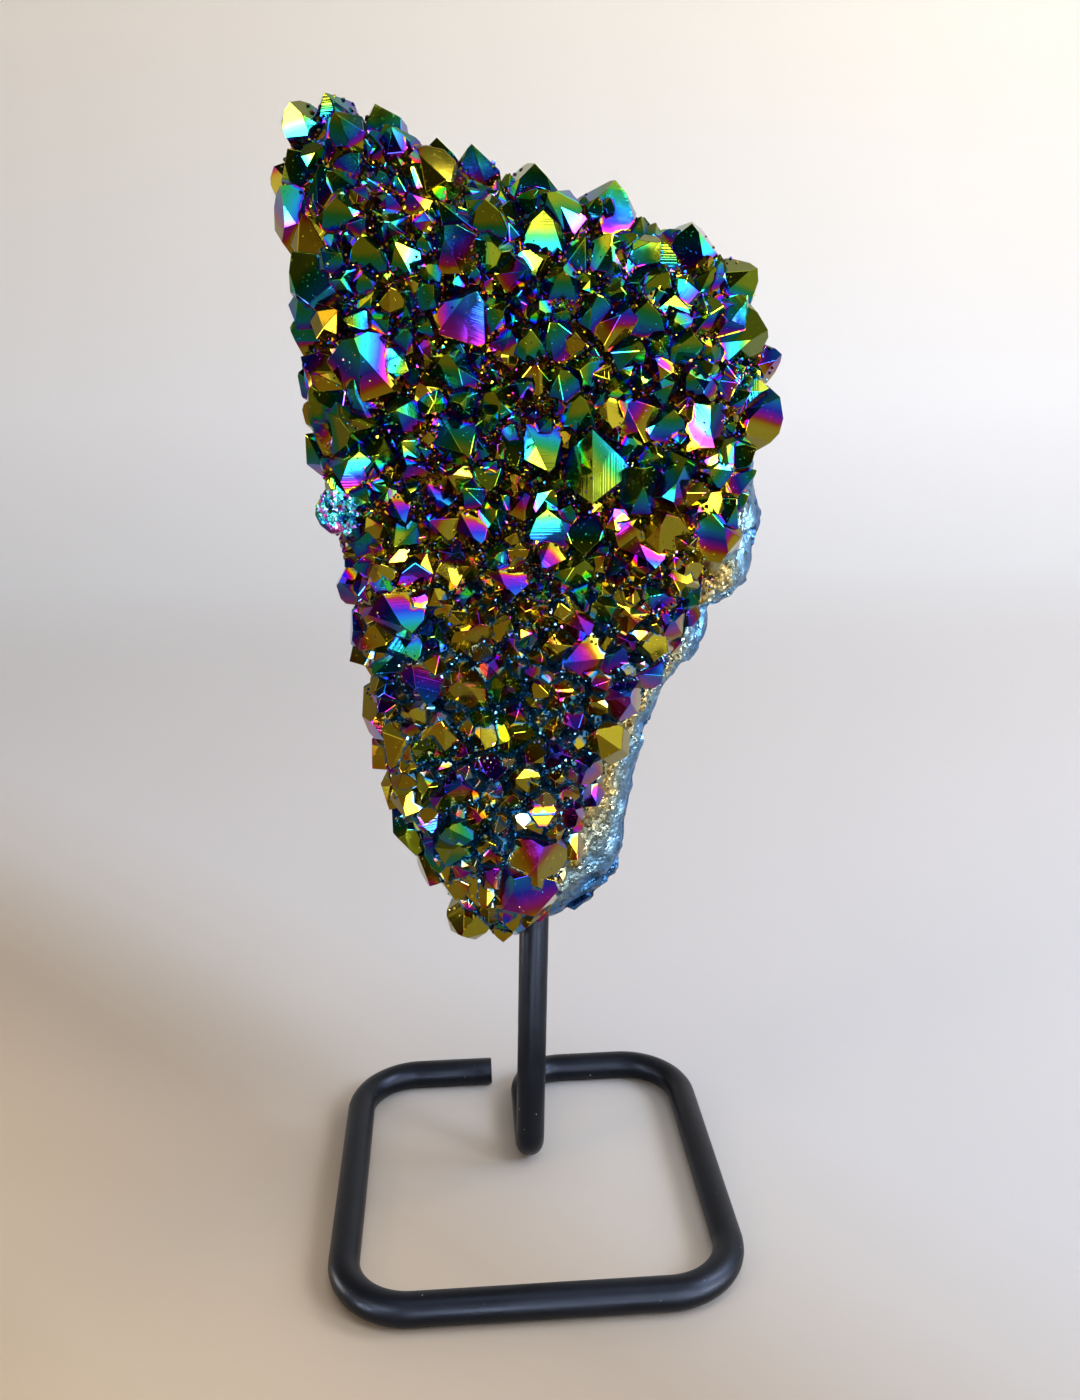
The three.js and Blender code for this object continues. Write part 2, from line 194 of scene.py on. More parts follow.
powder = new_material("satin_black_powder_coat")
place = add_node(powder, "TexCoord").outputs["Object"]
grain = add_node(powder, "TexNoise", Vector=place, Scale=1900.0, Detail=2.0)
dusting = add_node(powder, "TexNoise", Vector=place, Scale=70.0, Detail=5.0, Roughness=0.65)
specks = add_node(powder, "TexNoise", Vector=place, Scale=900.0, Detail=1.0)
speck_mask = add_node(powder, "MapRange", Value=specks, From_Min=0.78, From_Max=0.81)
dust_mask = add_node(powder, "MapRange", Value=dusting, From_Min=0.45, From_Max=0.8, To_Max=0.3)
body = add_node(powder, "Mix", {"data_type": "RGBA"}, _0=dust_mask,
                _6=linear(POWDER_BLACK), _7=linear(POWDER_DUST))
worn = add_node(powder, "Mix", {"data_type": "RGBA"}, _0=speck_mask,
                _6=body.outputs[2], _7=linear(BARE_STEEL))
texture = add_node(powder, "Bump", Strength=0.35, Distance=0.00012, Height=grain)
shine = add_node(powder, "MapRange", Value=dusting, From_Min=0.3, From_Max=0.7,
                 To_Min=0.3, To_Max=0.44)
rod.data.materials.clear()
# The coat's reflections are tinted blue: a painted tint on its highlights that stands in for the cold
# window light.
rod.data.materials.append(finish_material(powder, add_node(
    powder, "BsdfPrincipled", Base_Color=worn.outputs[2], Roughness=shine,
    Specular_IOR_Level=0.26, Specular_Tint=linear("#B4C6EC"), Normal=texture)))
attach(rod, "root")
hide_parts("rod_stand")


# ---- Stone: matrix and rind ------------------------------------------------------------------
# The rock under the crystals: a bed of fine quartz in front, a broken edge round it, and behind
# a lumpy rind. It took the same metal vapour as the crystals, and looks like satin steel-blue.

MIDDLE = np.array([0.0, 178.0])  # x and z that the outlines turn around
FACE_OUTLINE = [
    [-45, 270], [-37, 272], [-28, 269], [-20, 264], [-8, 259], [4, 257], [14, 254], [26, 251], [38, 246],
    [48, 238], [54, 226], [56, 212], [53, 198], [49, 184], [44, 170], [38, 154], [30, 142], [22, 132],
    [17, 118], [13, 106], [8, 94], [4, 84], [-5, 79], [-16, 83], [-20, 93], [-24, 103], [-30, 112],
    [-32, 124], [-34, 138], [-37, 152], [-39, 168], [-41, 184], [-44, 200], [-46, 216], [-47, 232],
    [-47, 246], [-48, 258],
]
RIND_OUTLINE = [
    [-43, 268], [-36, 271], [-28, 268], [-20, 264], [-8, 259], [4, 257], [16, 254], [28, 251], [40, 246],
    [51, 238], [58, 226], [60, 212], [59, 200], [61, 192], [63, 182], [62, 174], [58, 165], [52, 159],
    [48, 149], [41, 140], [34, 130], [31, 118], [31, 106], [30, 95], [28, 84], [22, 76], [14, 71],
    [3, 71], [-8, 75], [-15, 84], [-18, 94], [-22, 104], [-27, 114], [-29, 126], [-31, 140], [-34, 154],
    [-36, 170], [-39, 186], [-42, 202], [-44, 218], [-45, 234], [-45, 248], [-46, 258],
]
BED_DEPTH = -7.2  # y of the bed between the crystals
BACK_DEPTH = 36.5  # y of the back
RIM_START = 0.82
SPOKES = 420
# Rings of the net: how far out, how far over to the rind's outline, depth, and share of the rind.
RINGS = [(0, 0, BED_DEPTH, 0), (0.82, 0, BED_DEPTH, 0), (0.985, 0, 2, 0), (1, 0.05, 4, 0),
         (1, 0.4, 9, 0.2), (1, 0.8, 15, 0.8), (1, 1, 21, 1), (0.97, 1, 27, 1), (0.82, 1, 32, 1),
         (0.5, 1, 35.5, 1), (0, 1, BACK_DEPTH, 1)]
RINGS_AT = [0, 34, 44, 48, 58, 70, 80, 88, 98, 126, 172]


def outline_reach(outline):
    """How far an outline lies from the middle, as a function of the angle."""
    arms = np.array(outline, float) - MIDDLE
    angles = np.arctan2(arms[:, 1], arms[:, 0])
    order = np.argsort(angles)
    return angles[order], np.linalg.norm(arms, axis=1)[order]


def reach_at(table, angle):
    return np.interp(angle, table[0], table[1], period=2 * math.pi)


face_reach, rind_reach = outline_reach(FACE_OUTLINE), outline_reach(RIND_OUTLINE)


def rim_share(x, z):
    """0 in the middle of the crystal face and 1 on its rim."""
    arm = np.array([x, z]).T - MIDDLE
    return np.linalg.norm(arm, axis=-1) / reach_at(face_reach, np.arctan2(arm[..., 1], arm[..., 0]))


def smooth_noise(places, size, seed):
    """Noise from -1 to 1 at places in millimetres, with lumps of that size."""
    shift = Vector((seed * 7.3, seed * 3.1, seed * 5.7))
    return np.array([noise.noise(Vector(p) / size + shift) for p in places])


noise.seed_set(1795485306)  # for the tilts of the broken faces, which would change from run to run


def broken_faces(places, size, tilt, seed):
    """Heights of broken stone: each cell of that size is a flat face, tilted its own way."""
    shift = Vector((seed * 7.3, seed * 3.1, seed * 5.7))
    heights = []
    for p in places:
        at = Vector(p) / size + shift
        cell = noise.voronoi(at)[1][0]
        slope = tilt * noise.noise_vector(cell * 3.7).dot(at - cell)
        heights.append(noise.cell(cell * 5.3) * 2 - 1 + slope)
    return np.array(heights)


def rind_net():
    """Corners and faces of the body: a sphere's net drawn out to the slab."""
    index = np.arange(1, RINGS_AT[-1])
    values = [np.interp(index, RINGS_AT, [r[i] for r in RINGS]) for i in range(4)]
    angles = (np.arange(SPOKES) + 0.5) / SPOKES * 2 * math.pi - math.pi
    ends = []
    for out, over, depth, rind in zip(*values):
        reach = reach_at(face_reach, angles) * (1 - over) + reach_at(rind_reach, angles) * over
        ends.append(np.c_[MIDDLE[0] + reach * out * np.cos(angles), np.full(SPOKES, depth),
                          MIDDLE[1] + reach * out * np.sin(angles), np.full(SPOKES, rind)])
    poles = [[MIDDLE[0], BED_DEPTH, MIDDLE[1], 0]], [[MIDDLE[0], BACK_DEPTH, MIDDLE[1], 1]]
    corners = np.concatenate([poles[0], *ends, poles[1]])
    faces, last = [], len(corners) - 1
    for ring in range(len(index) - 1):
        a = 1 + ring * SPOKES
        for spoke in range(SPOKES):
            after = (spoke + 1) % SPOKES
            faces.append((a + spoke, a + SPOKES + spoke, a + SPOKES + after, a + after))
    for spoke in range(SPOKES):
        after = (spoke + 1) % SPOKES
        faces.append((0, 1 + spoke, 1 + after))
        faces.append((last, last - SPOKES + after, last - SPOKES + spoke))
    return corners, faces


def read_array(items, name, width=1, kind=float):
    """One property of all of a mesh's items, as an array."""
    values = np.empty(len(items) * width, kind)
    items.foreach_get(name, values)
    return values.reshape(-1, width) if width > 1 else values


def places_of(piece):
    """The piece's corners in the loop's frame, in millimetres."""
    return read_array(piece.data.vertices, "co", 3) / MM - LOOP_MIDDLE


def normals_of(piece):
    return read_array(piece.data.vertices, "normal", 3)


def put_places(piece, places):
    piece.data.vertices.foreach_set("co", ((places + LOOP_MIDDLE) * MM).ravel())
    piece.data.update()


def rind_places(places, normals, shares):
    """Moves the rind onto the solid model's surface, found by looking outwards from inside it."""
    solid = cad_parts["quartz_cluster"].data
    tree = BVHTree.FromPolygons([v.co / MM - Vector(LOOP_MIDDLE) for v in solid.vertices],
                                [tuple(p.vertices) for p in solid.polygons])
    found = places.copy()
    for index in np.flatnonzero(shares > 0):
        start = Vector(places[index] - normals[index] * 7)
        hit = tree.ray_cast(start, Vector(normals[index]), 18)[0]
        if hit is not None:
            found[index] += (np.array(hit) - found[index]) * min(1, shares[index])
    return found


net, net_faces = rind_net()
rind_share = net[:, 3]
stone = mesh_piece("matrix_and_rind", net[:, :3], net_faces)
put_places(stone, rind_places(places_of(stone), normals_of(stone), rind_share))
apply_modifier(stone, "SMOOTH", factor=0.5, iterations=4)
places, normals = places_of(stone), normals_of(stone)
edge_share = np.clip(1 - np.abs(places[:, 1] - 7) / 8, 0, 1) * (places[:, 1] > -2)
band = edge_share * (0.75 * broken_faces(places * [1, 0.8, 0.6], 3.2, 2.5, 1)
                     + 0.35 * broken_faces(places * [1, 1, 0.7], 1.5, 2.5, 2))
lumps = 1.3 * smooth_noise(places, 12, 3)
cracked = 0.5 * broken_faces(places, 8.5, 2.0, 4) + 0.14 * broken_faces(places, 2.4, 2, 5)
from_middle = np.hypot(places[:, 0] - MIDDLE[0], places[:, 2] - MIDDLE[1])
lumps += cracked * np.clip(from_middle / 16 - 0.2, 0, 1)
to_right = np.clip((places[:, 0] - 12) / 20, 0, 1) * (places[:, 1] > 3)
# What stands out or in on the right side: a knob, the notch below it and a swelling lower down.
swellings = sum(out * np.exp(-((places[:, 2] - height) / half) ** 2)
                for out, height, half in ((2.8, 169, 5), (-2.6, 159, 3), (1.2, 125, 22)))
raised = rind_share * (1 - edge_share) * lumps + band + to_right * swellings - 0.1
put_places(stone, places + normals * raised[:, None])
activate(stone)
bpy.ops.object.shade_smooth_by_angle(angle=math.radians(38))

coated_rock = new_material("vapour_coated_quartz_rock")
where = add_node(coated_rock, "TexCoord").outputs["Object"]
axes = add_node(coated_rock, "SeparateXYZ", Vector=where)
patches = add_node(coated_rock, "TexNoise", Vector=where, Scale=55.0, Detail=6.0, Roughness=0.6)
grit = add_node(coated_rock, "TexVoronoi", Vector=where, Scale=900.0)
flecks = add_node(coated_rock, "TexNoise", Vector=where, Scale=420.0, Detail=3.0)
depth = add_node(coated_rock, "MapRange", Value=axes.outputs["Y"], From_Min=-0.006, From_Max=0.036)
wander = add_node(coated_rock, "Math", {"operation": "MULTIPLY_ADD"}, _0=patches, _1=0.34, _2=-0.17)
layer = add_node(coated_rock, "Math", {"operation": "ADD"}, _0=depth, _1=wander)
tint = add_node(coated_rock, "ValToRGB", stops=[
    (0.0, "#16344C"), (0.1, "#2B5570"), (0.17, "#8A6E2A"), (0.3, "#8A7E56"), (0.38, "#6E7E7C"),
    (0.47, "#5A7A90"), (0.56, "#2E5F8C"), (0.7, "#234874"), (0.85, "#283052"), (1.0, "#312E44")],
    Fac=layer)
glint = add_node(coated_rock, "MapRange", Value=flecks, From_Min=0.35, From_Max=0.7,
                 To_Min=0.18, To_Max=0.6)
pitted = add_node(coated_rock, "Bump", Strength=0.5, Distance=0.0004, Height=grit)
rough = add_node(coated_rock, "Bump", Strength=0.5, Distance=0.0008, Height=flecks, Normal=pitted)
stone.data.materials.append(finish_material(coated_rock, add_node(
    coated_rock, "BsdfPrincipled", Base_Color=tint, Metallic=0.85, Roughness=glint, Normal=rough)))
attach(stone, "root")
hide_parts("quartz_cluster")


# ---- Stone: the large crystals ---------------------------------------------------------------
# Short quartz crystals, each a hexagonal prism that ends in three large and three small faces.
# The vapour-deposited metal oxide is a few hundred nanometres thick and colours by interference.

PYRAMID_TILT = math.radians(51.8)
PYRAMID_REACH = 0.42  # how far its faces lie from the crystal's foot point, as a share of its width
TIP = 0.68  # how far out its tip stands, as a share of its width
# The prisms run this much wider than in the solid model, hidden in their neighbours, but not on the rim.
PRISM_SPREAD = ([0.7, 1.0], [1.34, 1.0])
SMALL_FACES = (1.02, 1.38)  # how much further out the three small pyramid faces lie than the large ones
# The film that most of a crystal has: gold, amber, magenta, violet, blue, teal, emerald, olive, yellow.
FILM_VALUES = dict(G=0.0, A=0.1, M=0.24, V=0.35, B=0.48, T=0.62, E=0.75, O=0.86, Y=0.95)
KITE = (16, 199)
KITE_CORNER = math.radians(44)
KITE_SLANT = np.array([0.007, 0, -0.013])  # film gained on each millimetre to the right and up
FLAT_TOPPED = (4, 115)  # this one was broken off square across its axis
FLAT_TOP = 0.31  # of its width above its foot
RIM_SLANT = 0.085  # film gained on each millimetre away from the groove
GROOVE, GROOVE_DEPTH = 0.35, 0.3  # half the width of the groove across it, and its depth
LIFTS = {FLAT_TOPPED: 0.4, KITE: 0.12}  # how far out these two stand, as a share of their width
# Middle's x and z, width, how far right of the middle and above it the tip stands, turn and film.
CRYSTALS = [
    (-39, 274, 9, -1, 2, 60, "E"), (-46, 272, 9.5, -1, 2, 60, "O"), (-29, 271, 10, 0, 3, 30, "E"),
    (-37, 267, 8.5, 1, 3, 60, "E"), (-17, 265, 9, 1, 3, 60, "E"), (-27, 264, 9.5, 0, 2, 0, "O"),
    (-47, 263, 9.5, -1, 1, 20, "O"), (-9, 263, 10, -1, 4, 60, "T"), (-51, 261, 7, -2, 1, 60, "G"),
    (3, 258, 12.5, 1, 3, 60, "E"), (-19, 259, 9.5, 1, 2, 60, "O"), (-28, 255, 8, 0, 2, 30, "V"),
    (-48, 254, 13, -2.5, 4, 100, "B"), (-38, 254, 10, -1, 2, 60, "E"), (20, 254, 14, 1.5, 5.5, 60, "T"),
    (5, 249, 13.5, 0, 2.5, 60, "O"), (-40, 247, 8, 0, 2, 0, "B"), (-15, 247, 11.5, -1.5, 3.5, 0, "B"),
    (-33, 246, 9, -1, 3, 60, "O"), (38, 246, 12.5, -2.5, 2, 70, "T"), (-26, 245, 9.5, -1, 2, 60, "O"),
    (-5, 245, 10.5, 1, 0, 20, "E"), (31, 244, 10, 1, 3, 60, "O"), (20, 241, 8.5, 1, 2, 30, "T"),
    (42, 239, 9.5, 1, 2, 60, "O"), (50, 238, 12.5, 4, 1, 90, "O"), (9, 239, 10.5, 0, 2, 60, "T"),
    (-44, 236, 13, -1, 3.5, 60, "O"), (-33, 236, 8.5, 2, 2, 30, "O"), (-25, 235, 8, 0, 2, 0, "E"),
    (0, 235, 9, -1, 1, 80, "V"), (-11, 234, 12, 2, 4, 80, "B"), (34, 234, 8.5, 0, 2, 60, "E"),
    (28, 232, 9.5, 0, 3.5, 60, "E"), (22, 231, 10.5, 2, 3, 60, "M"), (-46, 230, 10, 0, 3, 60, "E"),
    (8, 228, 10, -2, 3, 20, "T"), (50, 227, 15.5, 4, -1.5, 60, "O"), (58, 221, 9, 3, 0, 60, "V"),
    (37, 226, 9.5, 1, 2, 60, "E"), (-3, 226, 9.5, 1, 2, 60, "V"), (-35, 224, 14.5, -1.5, 4, 100, "B"),
    (-15, 222, 11.5, -1, 2, 80, "E"), (24, 220, 9, 0, -1, 0, "E"), (-47, 218, 8, -2, 1, 60, "T"),
    (1, 217, 9, 1, 1, 60, "B"), (33, 216, 9.5, 1, 1, 40, "T"), (-36, 216, 9.5, -1, 3, 0, "T"),
    (13, 212, 9.5, 0, 3, 60, "O"), (25, 211, 11, -2, 2.5, 0, "M"), (-27, 211, 11.5, -1, 1, 80, "T"),
    (55, 210, 14, 2.5, 3, 80, "V"), (-8, 210, 9, 0, 1, 30, "E"), (42, 209, 11.5, 0.5, 3.5, 0, "B"),
    (33, 209, 9.5, 1, 3, 60, "T"), (-38, 208, 12, 0, -0.5, 20, "O"), (-14, 204, 12.5, 1.5, -2, 0, "E"),
    (25, 203, 8.5, 1, 1, 40, "T"), (-46, 203, 9.5, -1, 3, 60, "E"), (-2, 202, 9, 0, -4, 0, "E"),
    (46, 202, 9, 0, 3, 0, "E"), (-37, 201, 11, 0.5, 2.5, 60, "T"), (5, 201, 11.5, 1, -3.5, 0, "E"),
    (16, 199, 17, -1, 2, 0, "O"), (-25, 199, 9.5, -1, 1, 30, "M"), (36, 197, 11.5, 2, 4.5, 30, "E"),
    (-8, 196, 9, 0, -2, 0, "O"), (27, 195, 12, 0, 4, 0, "E"), (49, 193, 9.5, 0, 1, 10, "M"),
    (-18, 192, 9, 1, -1, 0, "V"), (-43, 189, 11, -2, 1, 50, "T"), (-28, 189, 9, 1, -2, 0, "V"),
    (6, 187, 11.5, -0.5, 3, 60, "T"), (33, 185, 11, 0, 3.5, 30, "G"), (44, 184, 13.5, -2, 4, 70, "B"),
    (-11, 184, 10, 1, -2, 0, "M"), (-35, 183, 9, 0, 3, 60, "T"), (14, 182, 11, 0, -3.5, 0, "E"),
    (29, 178, 11, 2, -2.5, 10, "V"), (13, 176, 10, 1, 2, 60, "Y"), (-25, 176, 9.5, 0, 2, 60, "V"),
    (22, 175, 9.5, 0, 1, 30, "V"), (-17, 174, 9.5, 1, -2, 20, "G"), (-39, 172, 11, -1, 2, 60, "M"),
    (-3, 172, 10, 1, -2, 10, "M"), (39, 168, 11, 1.5, -1, 20, "T"), (-28, 164, 12.5, 2, -2, 0, "B"),
    (25, 164, 10, 1, -1, 20, "G"), (4, 164, 9, 0, 1, 10, "G"), (13, 162, 11, 2, -2.5, 10, "M"),
    (34, 162, 9, 1, 1, 40, "V"), (-12, 162, 12, 1, 2, 60, "G"), (-37, 161, 10.5, -1, 2, 30, "V"),
    (-3, 158, 9, -1, 2, 60, "M"), (-27, 157, 10.5, 1.5, -2, 0, "T"), (-38, 154, 9.5, -3, 0, 60, "G"),
    (12, 154, 12, -3.5, 0, 60, "M"), (22, 154, 9.5, 1, 3, 60, "B"), (30, 150, 11, 2.5, -0.5, 90, "V"),
    (-15, 148, 12, -1, 2, 60, "G"), (-5, 148, 11, 0, 1, 40, "Y"), (-24, 147, 11.5, 0, -2.5, 20, "V"),
    (-32, 145, 9.5, -1, 2, 60, "V"), (8, 145, 10, 0, 0, 30, "G"), (23, 144, 12.5, 2, 1, 100, "V"),
    (12, 138, 9, 0, -1, 0, "M"), (-14, 137, 8, 0, -1, 0, "A"), (-33, 136, 11, 2, -1.5, 20, "M"),
    (-3, 136, 11.5, 0, 1, 30, "Y"), (22, 134, 8, 3, -1, 40, "G"), (-23, 133, 10.5, 0, 1, 60, "Y"),
    (7, 130, 9, -1, 1, 30, "V"), (-35, 127, 9, -2, 0, 60, "G"), (14, 126, 10, 1, 1, 30, "V"),
    (-8, 126, 8.5, 0, -2, 0, "M"), (-17, 122, 11, 1, 2, 60, "M"), (-24, 122, 9, 0, 1, 30, "Y"),
    (-32, 117, 9, -1, -1, 40, "G"), (16, 116, 9, 1, 1, 60, "M"), (4, 115, 8, 0, 0, 0, "G"),
    (-12, 114, 9.5, 1, 1, 30, "G"), (-17, 106, 11, 0, 2, 60, "Y"), (-28, 105, 9.5, 2, -2, 10, "Y"),
    (2, 104, 13.5, 2, 4.5, 20, "M"), (11, 102, 9.5, 2, 1, 60, "G"), (-23, 97, 10.5, -1, 0, 40, "G"),
    (-2, 96, 15, -1.5, 4.5, 10, "M"), (3, 84, 7.5, 1, -2, 20, "A"), (-15, 82, 11.5, -1, 3.5, 80, "G"),
    (-6, 78, 7.5, 0, -3, 0, "G"),
]
series = 20261


def next_between(low, high):
    """The next number of the series that cut the crystals in the solid model."""
    global series
    series = (series * 1664525 + 1013904223) % 4294967296
    return low + (high - low) * series / 4294967296


def crystal_planes(width, spread):
    """Six prism faces and six pyramid faces of a crystal on +Z, every second pyramid face small."""
    planes = []
    small = next_between(*SMALL_FACES)
    for side in range(6):
        angle = side * math.pi / 3
        prism = np.array([math.cos(angle), math.sin(angle), 0])
        pyramid = prism * math.sin(PYRAMID_TILT) + [0, 0, math.cos(PYRAMID_TILT)]
        pyramid_reach = width * PYRAMID_REACH * next_between(0.95, 1.07) * (small if side % 2 else 1)
        planes.append((prism, spread * width / 2 * next_between(0.9, 1.06)))
        planes.append((pyramid, pyramid_reach))
    return planes


def kite_planes(width):
    """The biggest crystal shows two wide faces that meet in an upright ridge, in a kite's outline."""
    planes = []
    for side, tilt in ((1, 43), (-1, 38)):
        slope = math.radians(tilt)
        upright = np.array([0, side * math.sin(slope), math.cos(slope)])
        planes.append((upright, width * 0.47 * math.cos(slope)))
        for end, reach in ((1, 0.36), (-1, 0.44)):
            edge = np.array([end * math.cos(KITE_CORNER), side * math.sin(KITE_CORNER), 0.12])
            planes.append((edge, width * reach))
    return planes


def cut_crystal(width, planes, foot, bevel):
    """Cuts a block back to the planes, eases its edges, and gives its corners, faces and eased faces."""
    bpy.ops.mesh.primitive_cube_add(size=width * 3)
    blank = bpy.context.object
    bpy.ops.object.mode_set(mode="EDIT")
    for normal, reach in [*planes, (np.array([0, 0, -1.0]), foot)]:
        bpy.ops.mesh.select_all(action="SELECT")
        bpy.ops.mesh.bisect(plane_co=normal * reach, plane_no=normal, use_fill=True, clear_outer=True,
                            threshold=0.00001)
    bpy.ops.mesh.select_all(action="SELECT")
    bpy.ops.mesh.remove_doubles(threshold=0.02)
    bpy.ops.mesh.select_all(action="SELECT")
    if bevel:
        bpy.ops.mesh.bevel(offset=bevel, segments=1)
    bpy.ops.object.mode_set(mode="OBJECT")
    mesh = blank.data
    shape = {
        "corners": np.array([v.co for v in mesh.vertices]),
        "faces": [tuple(p.vertices) for p in mesh.polygons],
        "planes": planes,
    }
    bpy.data.objects.remove(blank)
    bpy.data.meshes.remove(mesh)
    return shape


def axis_matrix(axis, turn):
    """Turns +Z onto the axis, with the first face towards the top and then turned by that angle."""
    axis = axis / np.linalg.norm(axis)
    first = np.array([0, 0, 1.0]) - axis * axis[2]
    first /= np.linalg.norm(first)
    across = np.cross(axis, first)
    c, s = math.cos(-turn), math.sin(-turn)
    return np.array([first, across, axis]).T @ np.array([[c, -s, 0], [s, c, 0], [0, 0, 1]])


def bed_depth(share):
    """Depth of the ground that the solid model's crystals stand on."""
    return -6 + 9 * np.clip((share - RIM_START) / (1 - RIM_START), 0, 1.3)


# Film thickness, from thin to thick, as the colours that interference gives it.
FILM_COLOURS = [
    (0.0, "#867A1A"), (0.1, "#886812"), (0.155, "#843E10"), (0.195, "#821E42"), (0.24, "#80166E"),
    (0.315, "#5C148C"), (0.4, "#202494"), (0.52, "#14529A"), (0.61, "#106A82"), (0.7, "#106C56"),
    (0.78, "#206C2C"), (0.86, "#5A7014"), (0.94, "#7C7814"), (1.0, "#7E6A12")]
GAP_BLUE = "#225878"
THIN_SHARE = ([70, 140, 165, 185, 205, 235, 280], [0.98, 0.95, 0.84, 0.4, 0.12, 0.05, 0.03])
FILM_CLIMB = ([150, 185], [0.04, 0.085])  # film gained on each millimetre towards the tip, by height
FILM_ANCHOR = 0.38  # where a crystal has its own film, as a share of its width above its foot
RAYS = 8
GAP_WIDTH = 4.0  # surfaces nearer than this close a place in
rng = np.random.default_rng(48)


def gather(copies):
    """Corners and faces of (shape, turn matrix, size, place, width) copies, and each face's copy."""
    corners, faces, owner, base = [], [], [], 0
    for number, (shape, matrix, size, place, _) in enumerate(copies):
        corners.append(shape["corners"] * size @ matrix.T + place)
        faces += [tuple(base + i for i in face) for face in shape["faces"]]
        owner += [number] * len(shape["faces"])
        base += len(shape["corners"])
    return np.concatenate(corners), faces, np.array(owner)


def film_thickness(heights, thinner):
    """A film for each crystal: mostly thin low down, gold to violet, and thick above, blue to olive."""
    share = np.interp(heights, *THIN_SHARE)
    thin = rng.random(len(heights)) < share + thinner * (1 - share)
    is_gold = rng.random(len(heights)) < 0.5
    gold, magenta = rng.normal(-0.01, 0.05, len(heights)), rng.normal(0.24, 0.065, len(heights))
    is_steel = rng.random(len(heights)) < 0.5 * thinner
    steel, teal = rng.normal(0.57, 0.04, len(heights)), rng.normal(0.74, 0.1, len(heights))
    return np.where(is_steel, steel, np.where(thin, np.where(is_gold, gold, magenta), teal))


def write_attribute(mesh, name, domain, values):
    """Keeps a number or a vector with each corner or face of the mesh."""
    flat = values.ndim == 1
    layer = mesh.attributes.new(name, "FLOAT" if flat else "FLOAT_VECTOR", domain)
    layer.data.foreach_set("value" if flat else "vector", values.ravel())


def coat(piece, owner, copies, films, slants, stray):
    """Notes on every face how thick its film is: its crystal's own at a point a little below the tip,
    thicker towards the tip, thinner towards the foot, and a little apart on each face."""
    normals = read_array(piece.data.polygons, "normal", 3)
    count = len(normals)
    axes = np.array([copy[1][:, 2] for copy in copies])
    widths = np.array([copy[4] for copy in copies])
    anchors = np.array([copy[3] for copy in copies]) + axes * (FILM_ANCHOR * widths)[:, None]
    climbs = np.interp(anchors[:, 2], *FILM_CLIMB) * rng.uniform(0.75, 1.25, len(copies))
    climbs = climbs * np.clip(8 / widths, 1, 1.6)
    across = (axes * climbs[:, None] + slants)[owner] + rng.normal(0, 0.012, (count, 3))
    films = films[owner] + 0.08 * normals[:, 2] - 0.06 * normals[:, 0] + rng.normal(0, stray, count)
    write_attribute(piece.data, "film_across", "FACE", across)
    write_attribute(piece.data, "film_level", "FACE", films - np.sum(across * anchors[owner], axis=1))
    write_attribute(piece.data, "growth_axis", "FACE", axes[owner])


def refine(piece, length):
    """Cuts the faces that can be seen into small ones, so that the film can thin out into the gaps."""
    activate(piece)
    for _ in range(5):
        bpy.ops.object.mode_set(mode="EDIT")
        bpy.ops.mesh.select_mode(type="EDGE")
        bpy.ops.mesh.select_all(action="SELECT")
        bpy.ops.mesh.quads_convert_to_tris(quad_method="BEAUTY", ngon_method="BEAUTY")
        bpy.ops.mesh.select_all(action="DESELECT")
        bpy.ops.object.mode_set(mode="OBJECT")
        ends = places_of(piece)[read_array(piece.data.edges, "vertices", 2, int)]
        starts, stops = ends[:, 0], ends[:, 1]
        middle = (starts + stops) / 2
        shown = middle[:, 1] < bed_depth(rim_share(middle[:, 0], middle[:, 2])) + 1.5
        long = (np.linalg.norm(starts - stops, axis=1) > length) & shown
        if not long.any():
            break
        piece.data.edges.foreach_set("select", long)
        bpy.ops.object.mode_set(mode="EDIT")
        bpy.ops.mesh.subdivide(number_cuts=1)
        bpy.ops.object.mode_set(mode="OBJECT")


def openness(piece, tree, reach):
    """How open each corner lies, from 0 deep in a gap to 1 in the clear, by looking about from it."""
    places, normals = places_of(piece), normals_of(piece)
    turns = np.arange(RAYS) * 2.39996
    rises = 1 - (np.arange(RAYS) + 0.5) / RAYS * 0.92
    fan = np.c_[np.cos(turns) * np.sqrt(1 - rises**2), np.sin(turns) * np.sqrt(1 - rises**2), rises]
    sides = np.cross(normals, [0.3, 0.5, 0.81])
    sides /= np.linalg.norm(sides, axis=1)[:, None]
    looks = np.einsum("rk,kvc->vrc", fan, np.array([sides, np.cross(normals, sides), normals]))
    starts = places + normals * 0.06
    result = np.zeros(len(places))
    cast = tree.ray_cast
    for index in np.flatnonzero(places[:, 1] < bed_depth(rim_share(places[:, 0], places[:, 2])) + 2):
        start = starts[index].tolist()
        for look in looks[index].tolist():
            distance = cast(start, look, reach)[3]
            result[index] += 1.0 if distance is None else distance / reach
    return result / RAYS


def lay_film(piece, tree, shade):
    """Writes the film on every face corner, and how open each corner lies, less by that share."""
    mesh = piece.data
    totals = read_array(mesh.polygons, "loop_total", 1, int)
    face_of = np.repeat(np.arange(len(totals)), totals)
    corners = places_of(piece)[read_array(mesh.loops, "vertex_index", 1, int)]
    levels = read_array(mesh.attributes["film_level"].data, "value")[face_of]
    across = read_array(mesh.attributes["film_across"].data, "vector", 3)[face_of]
    axes = read_array(mesh.attributes["growth_axis"].data, "vector", 3)[face_of]
    write_attribute(mesh, "film", "CORNER", levels + np.sum(across * corners, axis=1))
    write_attribute(mesh, "climb", "CORNER", np.sum(axes * corners, axis=1))
    write_attribute(mesh, "open", "POINT", openness(piece, tree, GAP_WIDTH) * shade)
    for name in ("film_level", "film_across", "growth_axis"):
        mesh.attributes.remove(mesh.attributes[name])


